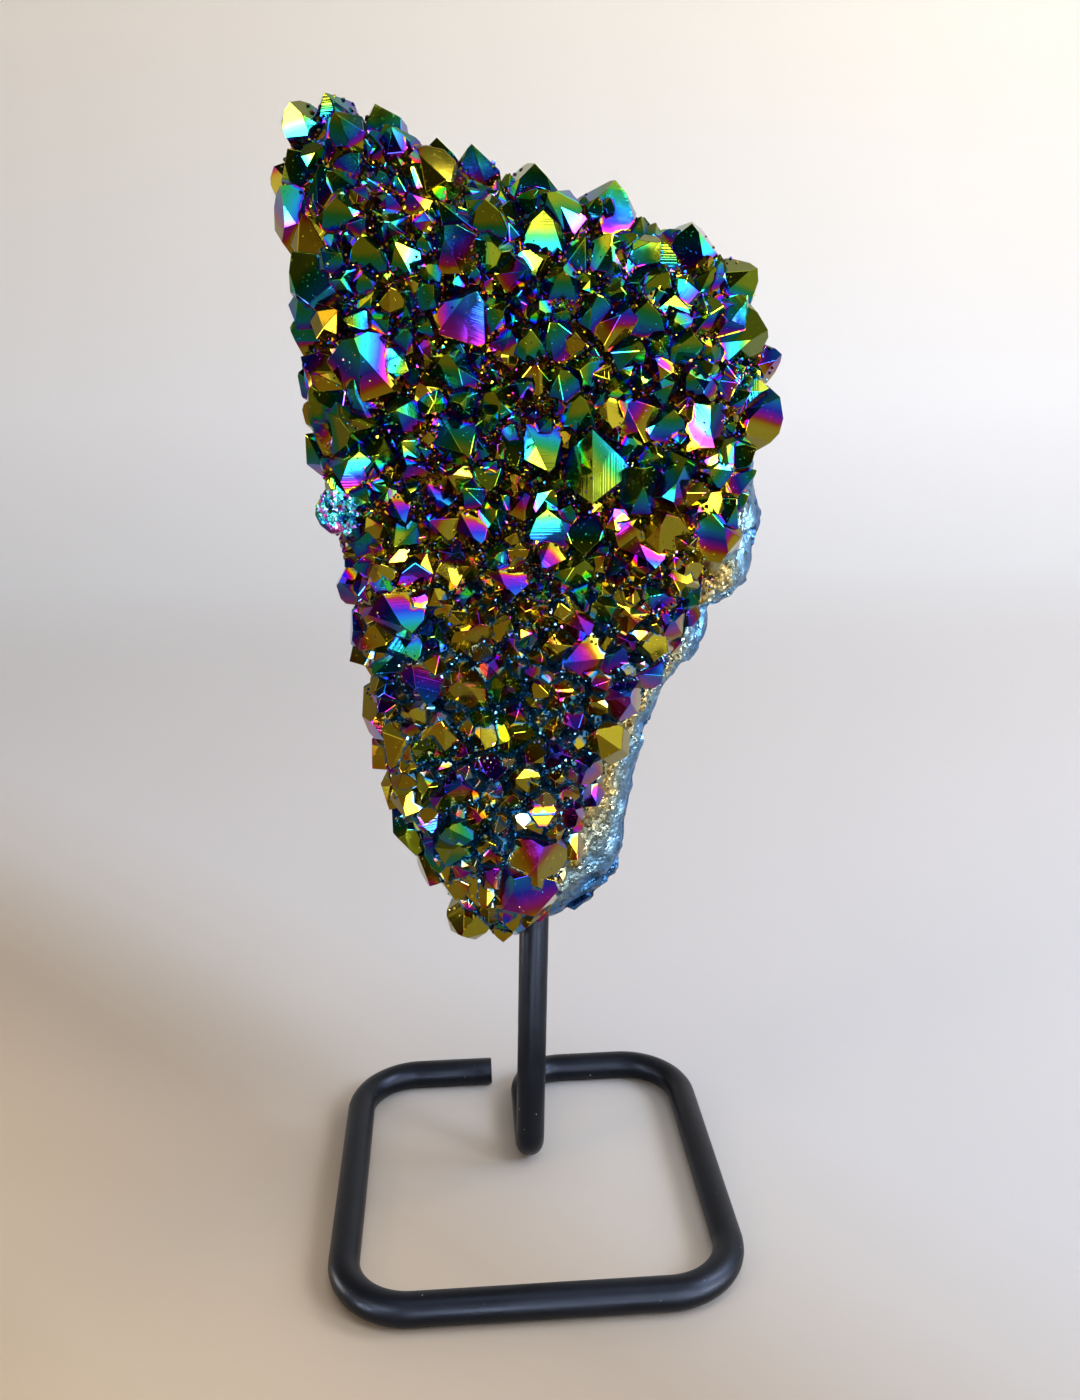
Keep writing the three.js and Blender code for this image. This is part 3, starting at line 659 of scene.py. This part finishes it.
def leaning_outward(axis, x, z):
    """The axis as it leans over towards the rim of the face."""
    t = np.clip((float(rim_share(x, z)) - RIM_START) / (1.1 - RIM_START), 0, 1)
    outward = np.array([x - MIDDLE[0], 0, z - MIDDLE[1]])
    axis = axis / np.linalg.norm(axis) + 0.9 * t * t * (3 - 2 * t) * outward / np.linalg.norm(outward)
    return axis / np.linalg.norm(axis)


copies, films, slants = [], [], []
for x, z, width, right, rise, turn, film in CRYSTALS:
    share = float(rim_share(x, z))
    planes = crystal_planes(width, np.interp(share, *PRISM_SPREAD))
    axis = leaning_outward(np.array([right, -width * 0.55, rise], float), x, z)
    lift = LIFTS.get((x, z), 0.06)
    foot = np.array([x - 0.3 * right, bed_depth(share), z - 0.3 * rise]) + lift * width * axis
    parts = [(planes, 0)]
    if (x, z) == KITE:
        parts = [(kite_planes(width), 0)]
    if (x, z) == FLAT_TOPPED:
        out, level = np.array([0, 0, 1.0]), width * FLAT_TOP
        parts = [(planes + [(out, level), (np.array([-side, 0, 0.0]), -GROOVE)], side * RIM_SLANT)
                 for side in (1, -1)] + [(planes + [(out, level - GROOVE_DEPTH)], 0)]
    for part, slant in parts:
        matrix = axis_matrix(axis, math.radians(turn))
        copies.append((cut_crystal(width, part, width * 0.9, 0.05), matrix, 1.0, foot, width))
        films.append(FILM_VALUES["B" if len(parts) > 1 and slant == 0 else film])
        slants.append(KITE_SLANT if (x, z) == KITE else matrix[:, 0] * slant)
corners, faces, owner = gather(copies)
large = mesh_piece("large_crystals", corners, faces)
coat(large, owner, copies, np.array(films), np.array(slants), 0.06)
refine(large, 2.0)

aura = new_material("titanium_aura_coated_quartz")
film = add_node(aura, "Attribute", {"attribute_name": "film"}).outputs["Fac"]
spot = add_node(aura, "TexCoord").outputs["Object"]
cloud = add_node(aura, "TexNoise", Vector=spot, Scale=160.0, Detail=2.0)
uneven = add_node(aura, "Math", {"operation": "MULTIPLY_ADD"}, _0=cloud, _1=0.1, _2=-0.05)
open_share = add_node(aura, "Attribute", {"attribute_name": "open"}).outputs["Fac"]
shut = add_node(aura, "MapRange", {"interpolation_type": "SMOOTHSTEP"}, Value=open_share,
                From_Min=0.95, From_Max=0.15, To_Max=-0.62)
laid = add_node(aura, "Math", {"operation": "ADD"}, _0=film, _1=shut)
thick = add_node(aura, "Math", {"operation": "ADD"}, _0=laid, _1=uneven)
thinnest = add_node(aura, "Math", {"operation": "MAXIMUM"}, _0=thick, _1=0.01)
thickest = add_node(aura, "Math", {"operation": "MINIMUM"}, _0=thinnest, _1=0.885)
hue = add_node(aura, "ValToRGB", stops=FILM_COLOURS, Fac=thickest)
height_on_stone = add_node(aura, "SeparateXYZ", Vector=spot).outputs["Z"]
bluer_below = add_node(aura, "MapRange", Value=height_on_stone, From_Min=0.19, From_Max=0.15,
                       To_Max=0.4)
shut_in = add_node(aura, "Math", {"operation": "SUBTRACT"}, _0=open_share, _1=bluer_below)
in_gap = add_node(aura, "MapRange", Value=shut_in, From_Min=0.4, From_Max=0.16)
metal = add_node(aura, "MapRange", Value=shut_in, From_Min=0.4, From_Max=0.16,
                 To_Min=0.95, To_Max=0.75)
coated = add_node(aura, "Mix", {"data_type": "RGBA"}, _0=in_gap, _6=hue, _7=linear(GAP_BLUE))
swell = add_node(aura, "TexNoise", Vector=spot, Scale=260.0, Detail=1.0)
wavy = add_node(aura, "Bump", Strength=0.12, Distance=0.00012, Height=swell)
# Growth lines across the axis, about three to a millimetre, on some faces only.
climb = add_node(aura, "Attribute", {"attribute_name": "climb"}).outputs["Fac"]
lines = add_node(aura, "TexNoise", {"noise_dimensions": "1D"}, W=climb, Scale=3.2, Detail=2.0)
few = add_node(aura, "TexNoise", Vector=spot, Scale=110.0, Detail=0.0)
where_lined = add_node(aura, "MapRange", Value=few, From_Min=0.52, From_Max=0.7, To_Max=0.000025)
lined = add_node(aura, "Math", {"operation": "MULTIPLY"}, _0=lines, _1=where_lined)
grown = add_node(aura, "Bump", Strength=1.0, Distance=1.0, Height=lined, Normal=wavy)
pits = add_node(aura, "TexNoise", Vector=spot, Scale=1500.0, Detail=1.0)
pit_mask = add_node(aura, "MapRange", Value=pits, From_Min=0.72, From_Max=0.76)
pitted_face = add_node(aura, "Bump", {"invert": True}, Strength=0.6, Distance=0.0001,
                       Height=pit_mask, Normal=grown)
gloss = add_node(aura, "MapRange", Value=cloud, From_Min=0.3, From_Max=0.8, To_Min=0.03, To_Max=0.1)
finish_material(aura, add_node(
    aura, "BsdfPrincipled", Base_Color=coated.outputs[2], Metallic=metal,
    Roughness=gloss, Normal=pitted_face))
large.data.materials.append(aura)
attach(large, "root")
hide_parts("quartz_cluster")


# ---- Stone: the middling and small crystals --------------------------------------------------
# Crystals of 3 to 8 mm that stand on the same bed and fill the gaps between the large ones.

SIZE = 10.0  # width that the shapes are cut at
SMALL_SHAPES = 18
small_shapes = [cut_crystal(SIZE, crystal_planes(SIZE, 1.1), 7.0, 0.12) for _ in range(SMALL_SHAPES)]


FRONT = -60  # y of a place in front of all crystals


def surface_of(*pieces):
    """A tree for finding the pieces' surface by casting lines, in the loop's frame in millimetres."""
    corners, faces, base = [], [], 0
    for piece in pieces:
        places = places_of(piece)
        corners.append(places)
        faces += [tuple(base + i for i in p.vertices) for p in piece.data.polygons]
        base += len(places)
    return BVHTree.FromPolygons(np.concatenate(corners).tolist(), faces)


def seen_from_front(tree, x, z):
    """The place and normal of what shows at x and z."""
    return tree.ray_cast(Vector((x, FRONT, z)), Vector((0, 1, 0)))[:2]


def leaning(normal, toward_front, stray):
    """An axis between the surface's normal and straight out of the face, with some stray."""
    axis = np.array(normal) + toward_front * np.array([0, -1.0, 0]) + rng.normal(0, stray, 3)
    return axis / np.linalg.norm(axis)


def any_turn(shapes, axis):
    """One of the shapes, and a matrix that stands it on the axis, turned anyhow."""
    return shapes[rng.integers(len(shapes))], axis_matrix(axis, rng.uniform(0, 2 * math.pi))


def grow(tree, shapes, tries, sizes, above_bed, spacing, toward_front, stray, sunk, within=1.08):
    """Crystals where what has grown so far stands no higher above the bed than given."""
    copies, taken = [], np.empty((0, 3))
    for _ in range(tries):
        x, z, size = rng.uniform(-54, 64), rng.uniform(72, 280), rng.uniform(*sizes)
        share = float(rim_share(x, z))
        apart = spacing * size * SIZE / 2
        if share > within:
            continue
        if len(taken) and np.min(np.hypot(taken[:, 0] - x, taken[:, 1] - z) - taken[:, 2]) < apart:
            continue
        place, normal = seen_from_front(tree, x, z)
        if place is None or normal.y > -0.05 or float(bed_depth(share)) - place.y > above_bed:
            continue
        axis = leaning(normal, toward_front, stray)
        foot = np.array(place) - axis * SIZE * size * rng.uniform(*sunk)
        copies.append((*any_turn(shapes, axis), size, foot, SIZE * size))
        taken = np.vstack([taken, [x, z, apart]])
    return copies


MAP_STEP = 0.6
map_x, map_z = np.meshgrid(np.arange(-57, 67, MAP_STEP), np.arange(70, 284, MAP_STEP), indexing="ij")
map_share = rim_share(map_x.ravel(), map_z.ravel()).reshape(map_x.shape)
map_bed = bed_depth(map_share)
OFF_FACE = 5.0  # what the map says beside the stone


def relief_map(tree):
    """How far the surface stands out of the bed, on a map of the crystal face."""
    relief = np.full(map_x.size, OFF_FACE)
    for index in np.flatnonzero(map_share.ravel() < 1.05):
        place = seen_from_front(tree, map_x.flat[index], map_z.flat[index])[0]
        if place is not None:
            relief[index] = map_bed.flat[index] - place.y
    return relief.reshape(map_x.shape)


def raise_map(relief, shape, matrix, size, foot):
    """Lifts the map where a new crystal stands out further than what was there."""
    columns = np.flatnonzero(np.abs(map_x[:, 0] - foot[0]) < SIZE * size)
    rows = np.flatnonzero(np.abs(map_z[0] - foot[2]) < SIZE * size)
    window = (slice(columns[0], columns[-1] + 1), slice(rows[0], rows[-1] + 1))
    over, up = map_x[window] - foot[0], map_z[window] - foot[2]
    front, back = np.full(over.shape, -np.inf), np.full(over.shape, np.inf)
    for normal, reach in shape["planes"]:
        normal = matrix @ normal
        bound = (reach * size - normal[0] * over - normal[2] * up) / normal[1]
        if normal[1] < 0:
            front = np.maximum(front, bound)
        else:
            back = np.minimum(back, bound)
    stands = map_bed[window] - foot[1] - front
    relief[window] = np.where(front < back, np.maximum(relief[window], stands), relief[window])


STOUTNESS = (1.5, 1.9)  # width of a crystal for how far it stands out


def standing(shapes, axis, tip, width):
    """A copy of one of the shapes with its tip there."""
    shape, matrix = any_turn(shapes, axis)
    return shape, matrix, width / SIZE, tip - axis * TIP * width, width


def fill_gaps(relief, shapes, radius, lowest, rise, stray):
    """Crystals in the widest and deepest gaps first, until no gap of that radius lies low enough."""
    steps = np.hypot(map_x - map_x[len(map_x) // 2, 0], map_z - map_z[0, map_z.shape[1] // 2])
    disc = (steps < radius).astype(float)
    disc = np.fft.rfft2(np.fft.ifftshift(disc / disc.sum()))
    free = map_share < 1.0
    copies = []
    while True:
        level = np.fft.irfft2(np.fft.rfft2(np.clip(relief, 0, 2.5 * radius)) * disc, relief.shape)
        level[~free] = np.inf
        index = np.unravel_index(np.argmin(level), level.shape)
        if level[index] > lowest:
            return copies
        x, z = map_x[index] + rng.uniform(-0.3, 0.3), map_z[index] + rng.uniform(-0.3, 0.3)
        free[np.hypot(map_x - x, map_z - z) < 0.72 * radius] = False
        height = radius * rng.uniform(*rise)
        width = height * rng.uniform(*STOUTNESS)
        axis = leaning_outward(np.array([rng.normal(0, stray), -1, rng.normal(0.25, stray)]), x, z)
        tip = np.array([x, map_bed[index] - level[index] - height, z])
        copies.append(standing(shapes, axis, tip, width))
        raise_map(relief, *copies[-1][:4])


def crystal_piece(name, copies, thinner, stray, detail):
    corners, faces, owner = gather(copies)
    piece = mesh_piece(name, corners, faces)
    films = film_thickness([copy[3][2] for copy in copies], thinner)
    coat(piece, owner, copies, films, np.zeros((len(copies), 3)), stray)
    refine(piece, detail)
    piece.data.materials.append(aura)
    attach(piece, "root")
    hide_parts("quartz_cluster")
    return piece


NOTCH = (1.3, 16)  # depths of the notches that are filled
PAST_EDGE = (0.2, 2.2)  # how far the crystals may stand past the outline
PAST_TOP = 2.6  # and how much further along the top
RIM_HEIGHTS = (3.0, 7.0)


def rim_copies(tree, relief):
    """Crystals that close the notches between the large ones along the rim, out to the outline."""
    copies = []
    for angle in np.arange(0, 2 * math.pi, 0.03):
        if not 0.15 <= angle < 1.5 * math.pi:  # there the broken edge shows
            continue
        outward = np.array([math.cos(angle), 0, math.sin(angle)])
        edge = np.array([MIDDLE[0], 0, MIDDLE[1]]) + outward * reach_at(face_reach, angle)
        for depth in (-4.0, 0.0, 4.0):
            start = edge + outward * 12 + [0, depth + rng.normal(0, 1), 0]
            place = tree.ray_cast(Vector(start), Vector(-outward))[0]
            if place is None:
                continue
            recess = (edge - np.array(place)) @ outward
            recess += rng.uniform(*PAST_EDGE) + PAST_TOP * max(0, outward[2])
            if not NOTCH[0] < recess < NOTCH[1]:
                continue
            height = min(recess, rng.uniform(*RIM_HEIGHTS))
            width = height * rng.uniform(*STOUTNESS)
            axis = outward + [0, -0.9 if depth < 0 else -0.3, 0] + rng.normal(0, 0.25, 3)
            axis /= np.linalg.norm(axis)
            copies.append(standing(small_shapes, axis, np.array(place) + axis * height, width))
            raise_map(relief, *copies[-1][:4])
    return copies


relief = relief_map(surface_of(stone, large))
middling_copies = []
for radius, lowest in ((4.0, 2.6), (3.2, 3.0)):
    middling_copies += fill_gaps(relief, small_shapes, radius, lowest, (0.8, 1.35), 0.3)
middling_copies += rim_copies(surface_of(stone, large), relief)
middling = crystal_piece("middling_crystals", middling_copies, 0.15, 0.07, 1.7)
small_copies = []
for radius, lowest in ((2.5, 3.2), (1.8, 2.7), (1.2, 2.3)):
    small_copies += fill_gaps(relief, small_shapes, radius, lowest, (0.8, 1.4), 0.35)
small = crystal_piece("small_crystals", small_copies, 0.3, 0.1, 2.5)


# ---- Stone: the finest crystals --------------------------------------------------------------
# Points of about 1 to 2 mm, grown last over the bed and in the valleys between the others.

FINE_SHAPES = 10
FROSTED = (-43, 189)
fine_shapes = [cut_crystal(SIZE, crystal_planes(SIZE, 1.0), 7.0, 0) for _ in range(FINE_SHAPES)]


def frost(tree, middle, radius, count):
    """A crust of the finest points over one large crystal."""
    copies = []
    while len(copies) < count:
        x, z = np.array(middle) + rng.uniform(-radius, radius, 2)
        place, normal = seen_from_front(tree, x, z)
        if place is not None and np.hypot(x - middle[0], z - middle[1]) < radius:
            shape = fine_shapes[rng.integers(FINE_SHAPES)]
            matrix = axis_matrix(leaning(normal, 0.2, 0.4), rng.uniform(0, 2 * math.pi))
            foot = np.array(place) - np.array(normal) * 0.3
            copies.append((shape, matrix, rng.uniform(0.06, 0.11), foot, 1))
    return copies


before_fine = surface_of(stone, large, middling, small)
specks = grow(before_fine, fine_shapes, 1500, (0.03, 0.06), 12, 3.0, 0.3, 0.5, (0.2, 0.4), 0.92)
points = grow(before_fine, fine_shapes, 26000, (0.05, 0.11), 3.6, 1.05, 0.4, 0.6, (0.0, 0.15))
fine = crystal_piece("fine_crystals", specks + points, 0.5, 0.2, 5.0)
crust = mesh_piece("frosted_crystal", *gather(frost(before_fine, FROSTED, 5.2, 420))[:2])
frosted = new_material("frosted_aura_coated_quartz")
spot = add_node(frosted, "TexCoord").outputs["Object"]
patches = add_node(frosted, "TexNoise", Vector=spot, Scale=420.0, Detail=2.0)
sheen = add_node(frosted, "ValToRGB", stops=[
    (0.3, "#2C60D8"), (0.42, "#20BCD8"), (0.5, "#58F0E4"), (0.58, "#A070F0"), (0.66, "#F060C8"),
    (0.8, "#50E0E0")], Fac=patches)
finish_material(frosted, add_node(
    frosted, "BsdfPrincipled", Base_Color=sheen, Metallic=0.75, Roughness=0.24))
crust.data.materials.append(frosted)
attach(crust, "root")
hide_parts("quartz_cluster")


# ---- Stone: the grains of the broken edge ----------------------------------------------------
# Where the slab was broken out, its edge is sugary quartz: chips of about 1 to 2 mm, coated like
# the rock that they are part of.

GRAINS = 1500
edge_places, edge_normals = places_of(stone), normals_of(stone)
on_band = (edge_places[:, 1] > 0) & (edge_places[:, 1] < 13)
on_edge = np.flatnonzero(on_band & (edge_normals[:, 1] < 0.35))
grain_copies = []
for index in rng.choice(on_edge, GRAINS, replace=False):
    place, normal = edge_places[index], edge_normals[index]
    size = rng.uniform(0.1, 0.24) * np.interp(place[1], [0, 6, 13], [1.0, 1.0, 0.5])
    axis = leaning(normal, 0.0, 0.6)
    foot = place - axis * SIZE * size * 0.3
    grain_copies.append((*any_turn(fine_shapes, axis), size, foot, SIZE * size))
grains = mesh_piece("edge_grains", *gather(grain_copies)[:2])
grains.data.materials.append(coated_rock)
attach(grains, "root")
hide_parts("quartz_cluster")

all_crystals = surface_of(stone, large, middling, small)
for piece, shade in ((large, 1.0), (middling, 0.95), (small, 0.75), (fine, 0.85)):
    lay_film(piece, all_crystals, shade)


# ---- Floor, light and camera -----------------------------------------------------------------
# A pale table that runs up into a pale wall, with light and shade painted into the paper's colour, a
# large soft window light and a weaker one opposite.

WALL_Y = 0.9
SWEEP = 0.5


def sweep_floor():
    profile = [(-3.0, 0.0), (WALL_Y - SWEEP, 0.0)]
    for step in range(1, 25):
        angle = math.pi / 2 * step / 24
        profile.append((WALL_Y - SWEEP + SWEEP * math.sin(angle), SWEEP - SWEEP * math.cos(angle)))
    profile.append((WALL_Y, 3.0))
    corners = [(x, y, z) for y, z in profile for x in (-3.0, 3.0)]
    faces = [(2 * i, 2 * i + 1, 2 * i + 3, 2 * i + 2) for i in range(len(profile) - 1)]
    floor = new_piece("table_and_wall", corners, faces)
    activate(floor)
    bpy.ops.object.shade_smooth()
    return floor


floor = sweep_floor()
paper = new_material("matt_paper_sweep")
place = add_node(paper, "TexCoord").outputs["Object"]
axes = add_node(paper, "SeparateXYZ", Vector=place)
rise = add_node(paper, "MapRange", Value=axes.outputs["Z"], From_Min=0.0, From_Max=0.5)
# Painted light: the wall's colour runs from grey where it meets the table to near white at its top,
# lighter where more light falls.
wall = add_node(paper, "ValToRGB", stops=[
    (0.0, "#C8C5C3"), (0.1, "#D6D7D8"), (0.36, "#ECECEC"), (1.0, "#FFFAEE")], Fac=rise)
# Painted light and shade: the table's colour runs from warm at the front left, standing in for warm room
# light, through a darker band that is a painted shadow of the stone, to neutral grey towards the window
# on the right.
to_corner = add_node(paper, "Math", {"operation": "ADD"}, _0=axes.outputs["X"], _1=axes.outputs["Y"])
painted_light_share = add_node(paper, "MapRange", Value=to_corner, From_Min=-0.3, From_Max=0.1)
table = add_node(paper, "ValToRGB", stops=[
    (0.0, "#D0B28E"), (0.35, "#D4C0A6"), (0.62, "#BEB0A0"), (0.82, "#CAC5C0"), (1.0, "#CECCCC")],
    Fac=painted_light_share)
up_wall = add_node(paper, "MapRange", Value=axes.outputs["Z"], From_Min=0.0, From_Max=0.06)
sweep = add_node(paper, "Mix", {"data_type": "RGBA"}, _0=up_wall, _6=table, _7=wall)
floor.data.materials.append(finish_material(paper, add_node(
    paper, "BsdfPrincipled", Base_Color=sweep.outputs[2], Roughness=0.75, Specular_IOR_Level=0.0)))


def soft_light(name, place, target, width, height, power, colour):
    light = bpy.data.lights.new(name, "AREA")
    light.shape = "RECTANGLE"
    light.size, light.size_y, light.energy = width, height, power
    light.color = linear(colour)[:3]
    lamp = link_object(name, light)
    lamp.location = place
    lamp.rotation_mode = "QUATERNION"
    lamp.rotation_quaternion = (Vector(target) - Vector(place)).to_track_quat("-Z", "Y")
    return lamp


AIM = (0.0, 0.0, 0.16)
# A dark sheet in front that only shows in reflections: a painted dark reflection that stands in for the
# dark room before the table.
dark_reflection_corners = [(-0.28, -0.75, 0.002), (0.28, -0.75, 0.002), (0.28, -0.75, 0.9), (-0.28, -0.75, 0.9)]
dark_reflection_sheet = new_piece("painted_dark_reflection", dark_reflection_corners, [(0, 1, 2, 3)])
dark_reflection_paint = new_material("painted_dark_reflection_colour")
dark_reflection_sheet.data.materials.append(finish_material(dark_reflection_paint, add_node(
    dark_reflection_paint, "BsdfPrincipled", Base_Color=linear("#202124"), Roughness=0.9)))
dark_reflection_sheet.visible_camera = dark_reflection_sheet.visible_diffuse = dark_reflection_sheet.visible_shadow = False
dark_reflection_sheet.visible_transmission = False
soft_light("window", (1.4, -0.9, 1.3), AIM, 0.5, 0.65, 15, "#DEEAFF")
soft_light("side_window", (0.8, -0.1, 0.5), (0.0, 0.05, 0.0), 0.3, 0.45, 4.2, "#D8E6FF")
soft_light("room", (-1.5, -0.8, 1.2), AIM, 0.5, 0.6, 4, "#FFD6A4")
soft_light("ceiling", (0.1, -0.3, 2.0), AIM, 1.0, 0.6, 6, "#FFFFFF")
low_card = soft_light("low_card", (0.02, -0.24, 0.03), (0.0, -0.01, 0.115), 0.06, 0.05, 0.1, "#FFFFFF")
low_card.visible_diffuse = low_card.visible_camera = False
soft_light("wall_light", (0.9, 0.3, 1.1), (0.3, WALL_Y, 0.45), 0.5, 0.5, 4.5, "#FFF0DC")

# Panes and lamps that only show as reflections: heading (0 behind the stone, 90 to its right),
# height angle, width, height, brightness and colour.
REFLECTIONS = [
    (118, 24, 0.62, 0.7, 2.0, "#F4F8FF"), (142, 50, 0.6, 0.5, 2.2, "#F4F8FF"),
    (-98, 14, 0.5, 0.6, 1.8, "#FFF2E2"), (-150, 42, 0.4, 0.5, 2.0, "#FFFFFF"),
    (99, -1, 0.5, 0.45, 1.6, "#FFFFFF"), (-89, -4, 0.5, 0.3, 1.6, "#FFFFFF"),
    (112, -8, 0.36, 0.26, 48.0, "#FFFFFF"), (160, 22, 0.24, 0.4, 52.0, "#FFFFFF"),
    (-122, -4, 0.34, 0.3, 48.0, "#FFFFFF"), (-84, -22, 0.36, 0.2, 24.0, "#FFF6EA"),
    (128, 4, 0.18, 0.5, 52.0, "#FFFFFF"), (148, -36, 0.36, 0.2, 24.0, "#FFFFFF"),
    (-140, 22, 0.18, 0.4, 52.0, "#FFFFFF"), (100, 40, 0.18, 0.5, 48.0, "#FFFFFF"),
    (176, -21, 0.3, 0.3, 16.0, "#FFFFFF"), (-168, -50, 0.3, 0.2, 16.0, "#FFFFFF"),
]
PANE_DISTANCE = 1.3
for number, (heading, height, width, tall, brightness, colour) in enumerate(REFLECTIONS):
    heading, height = math.radians(heading), math.radians(height)
    flat = (math.sin(heading) * math.cos(height), math.cos(heading) * math.cos(height),
            math.sin(height))
    distance = PANE_DISTANCE if height > 0 else min(PANE_DISTANCE, 0.14 / math.sin(-height))
    place = tuple(a + distance * b for a, b in zip(AIM, flat))
    share = distance / PANE_DISTANCE
    pane = soft_light("reflection_%d" % number, place, AIM, width * share, tall * share,
                      brightness * math.pi * width * tall * share ** 2, colour)
    pane.visible_diffuse = pane.visible_camera = False

world = bpy.data.worlds.new("pale_room")
bpy.context.scene.world = world
world.use_nodes = True
world.node_tree.nodes.clear()
direction = add_node(world, "TexCoord").outputs["Generated"]
parts = add_node(world, "SeparateXYZ", Vector=direction)
height = add_node(world, "MapRange", Value=parts.outputs["Z"], From_Min=-0.2, From_Max=1.0)
glow = add_node(world, "ValToRGB", stops=[(0.0, "#3E3C3A"), (0.35, "#6C6E72"), (1.0, "#E0E2E6")],
                Fac=height)
background = add_node(world, "Background", Color=glow, Strength=0.64)
add_node(world, "OutputWorld", Surface=background)

SENSOR = 36.0
CAMERA_PLACE = (-0.021188, -0.2856, 0.2236)
HEADING, PITCH, ROLL = math.radians(4.06), math.radians(16.1), math.radians(-0.53)
flat_ahead = Vector((math.sin(HEADING), math.cos(HEADING), 0))
level_right = Vector((math.cos(HEADING), -math.sin(HEADING), 0))
ahead = flat_ahead * math.cos(PITCH) - Vector((0, 0, 1)) * math.sin(PITCH)
upright = flat_ahead * math.sin(PITCH) + Vector((0, 0, 1)) * math.cos(PITCH)
right = level_right * math.cos(ROLL) + upright * math.sin(ROLL)
upward = upright * math.cos(ROLL) - level_right * math.sin(ROLL)
camera_data = bpy.data.cameras.new("camera")
camera_data.sensor_width = SENSOR
camera_data.lens = 1195 / 1400 * SENSOR  # the focal length and the frame's height in pixels
camera_data.clip_start = 0.01
camera = link_object("camera", camera_data)
camera.matrix_world = Matrix((
    (right.x, upward.x, -ahead.x, CAMERA_PLACE[0]),
    (right.y, upward.y, -ahead.y, CAMERA_PLACE[1]),
    (right.z, upward.z, -ahead.z, CAMERA_PLACE[2]),
    (0, 0, 0, 1)))
bpy.context.scene.camera = camera
bpy.context.scene.view_settings.view_transform = "Standard"
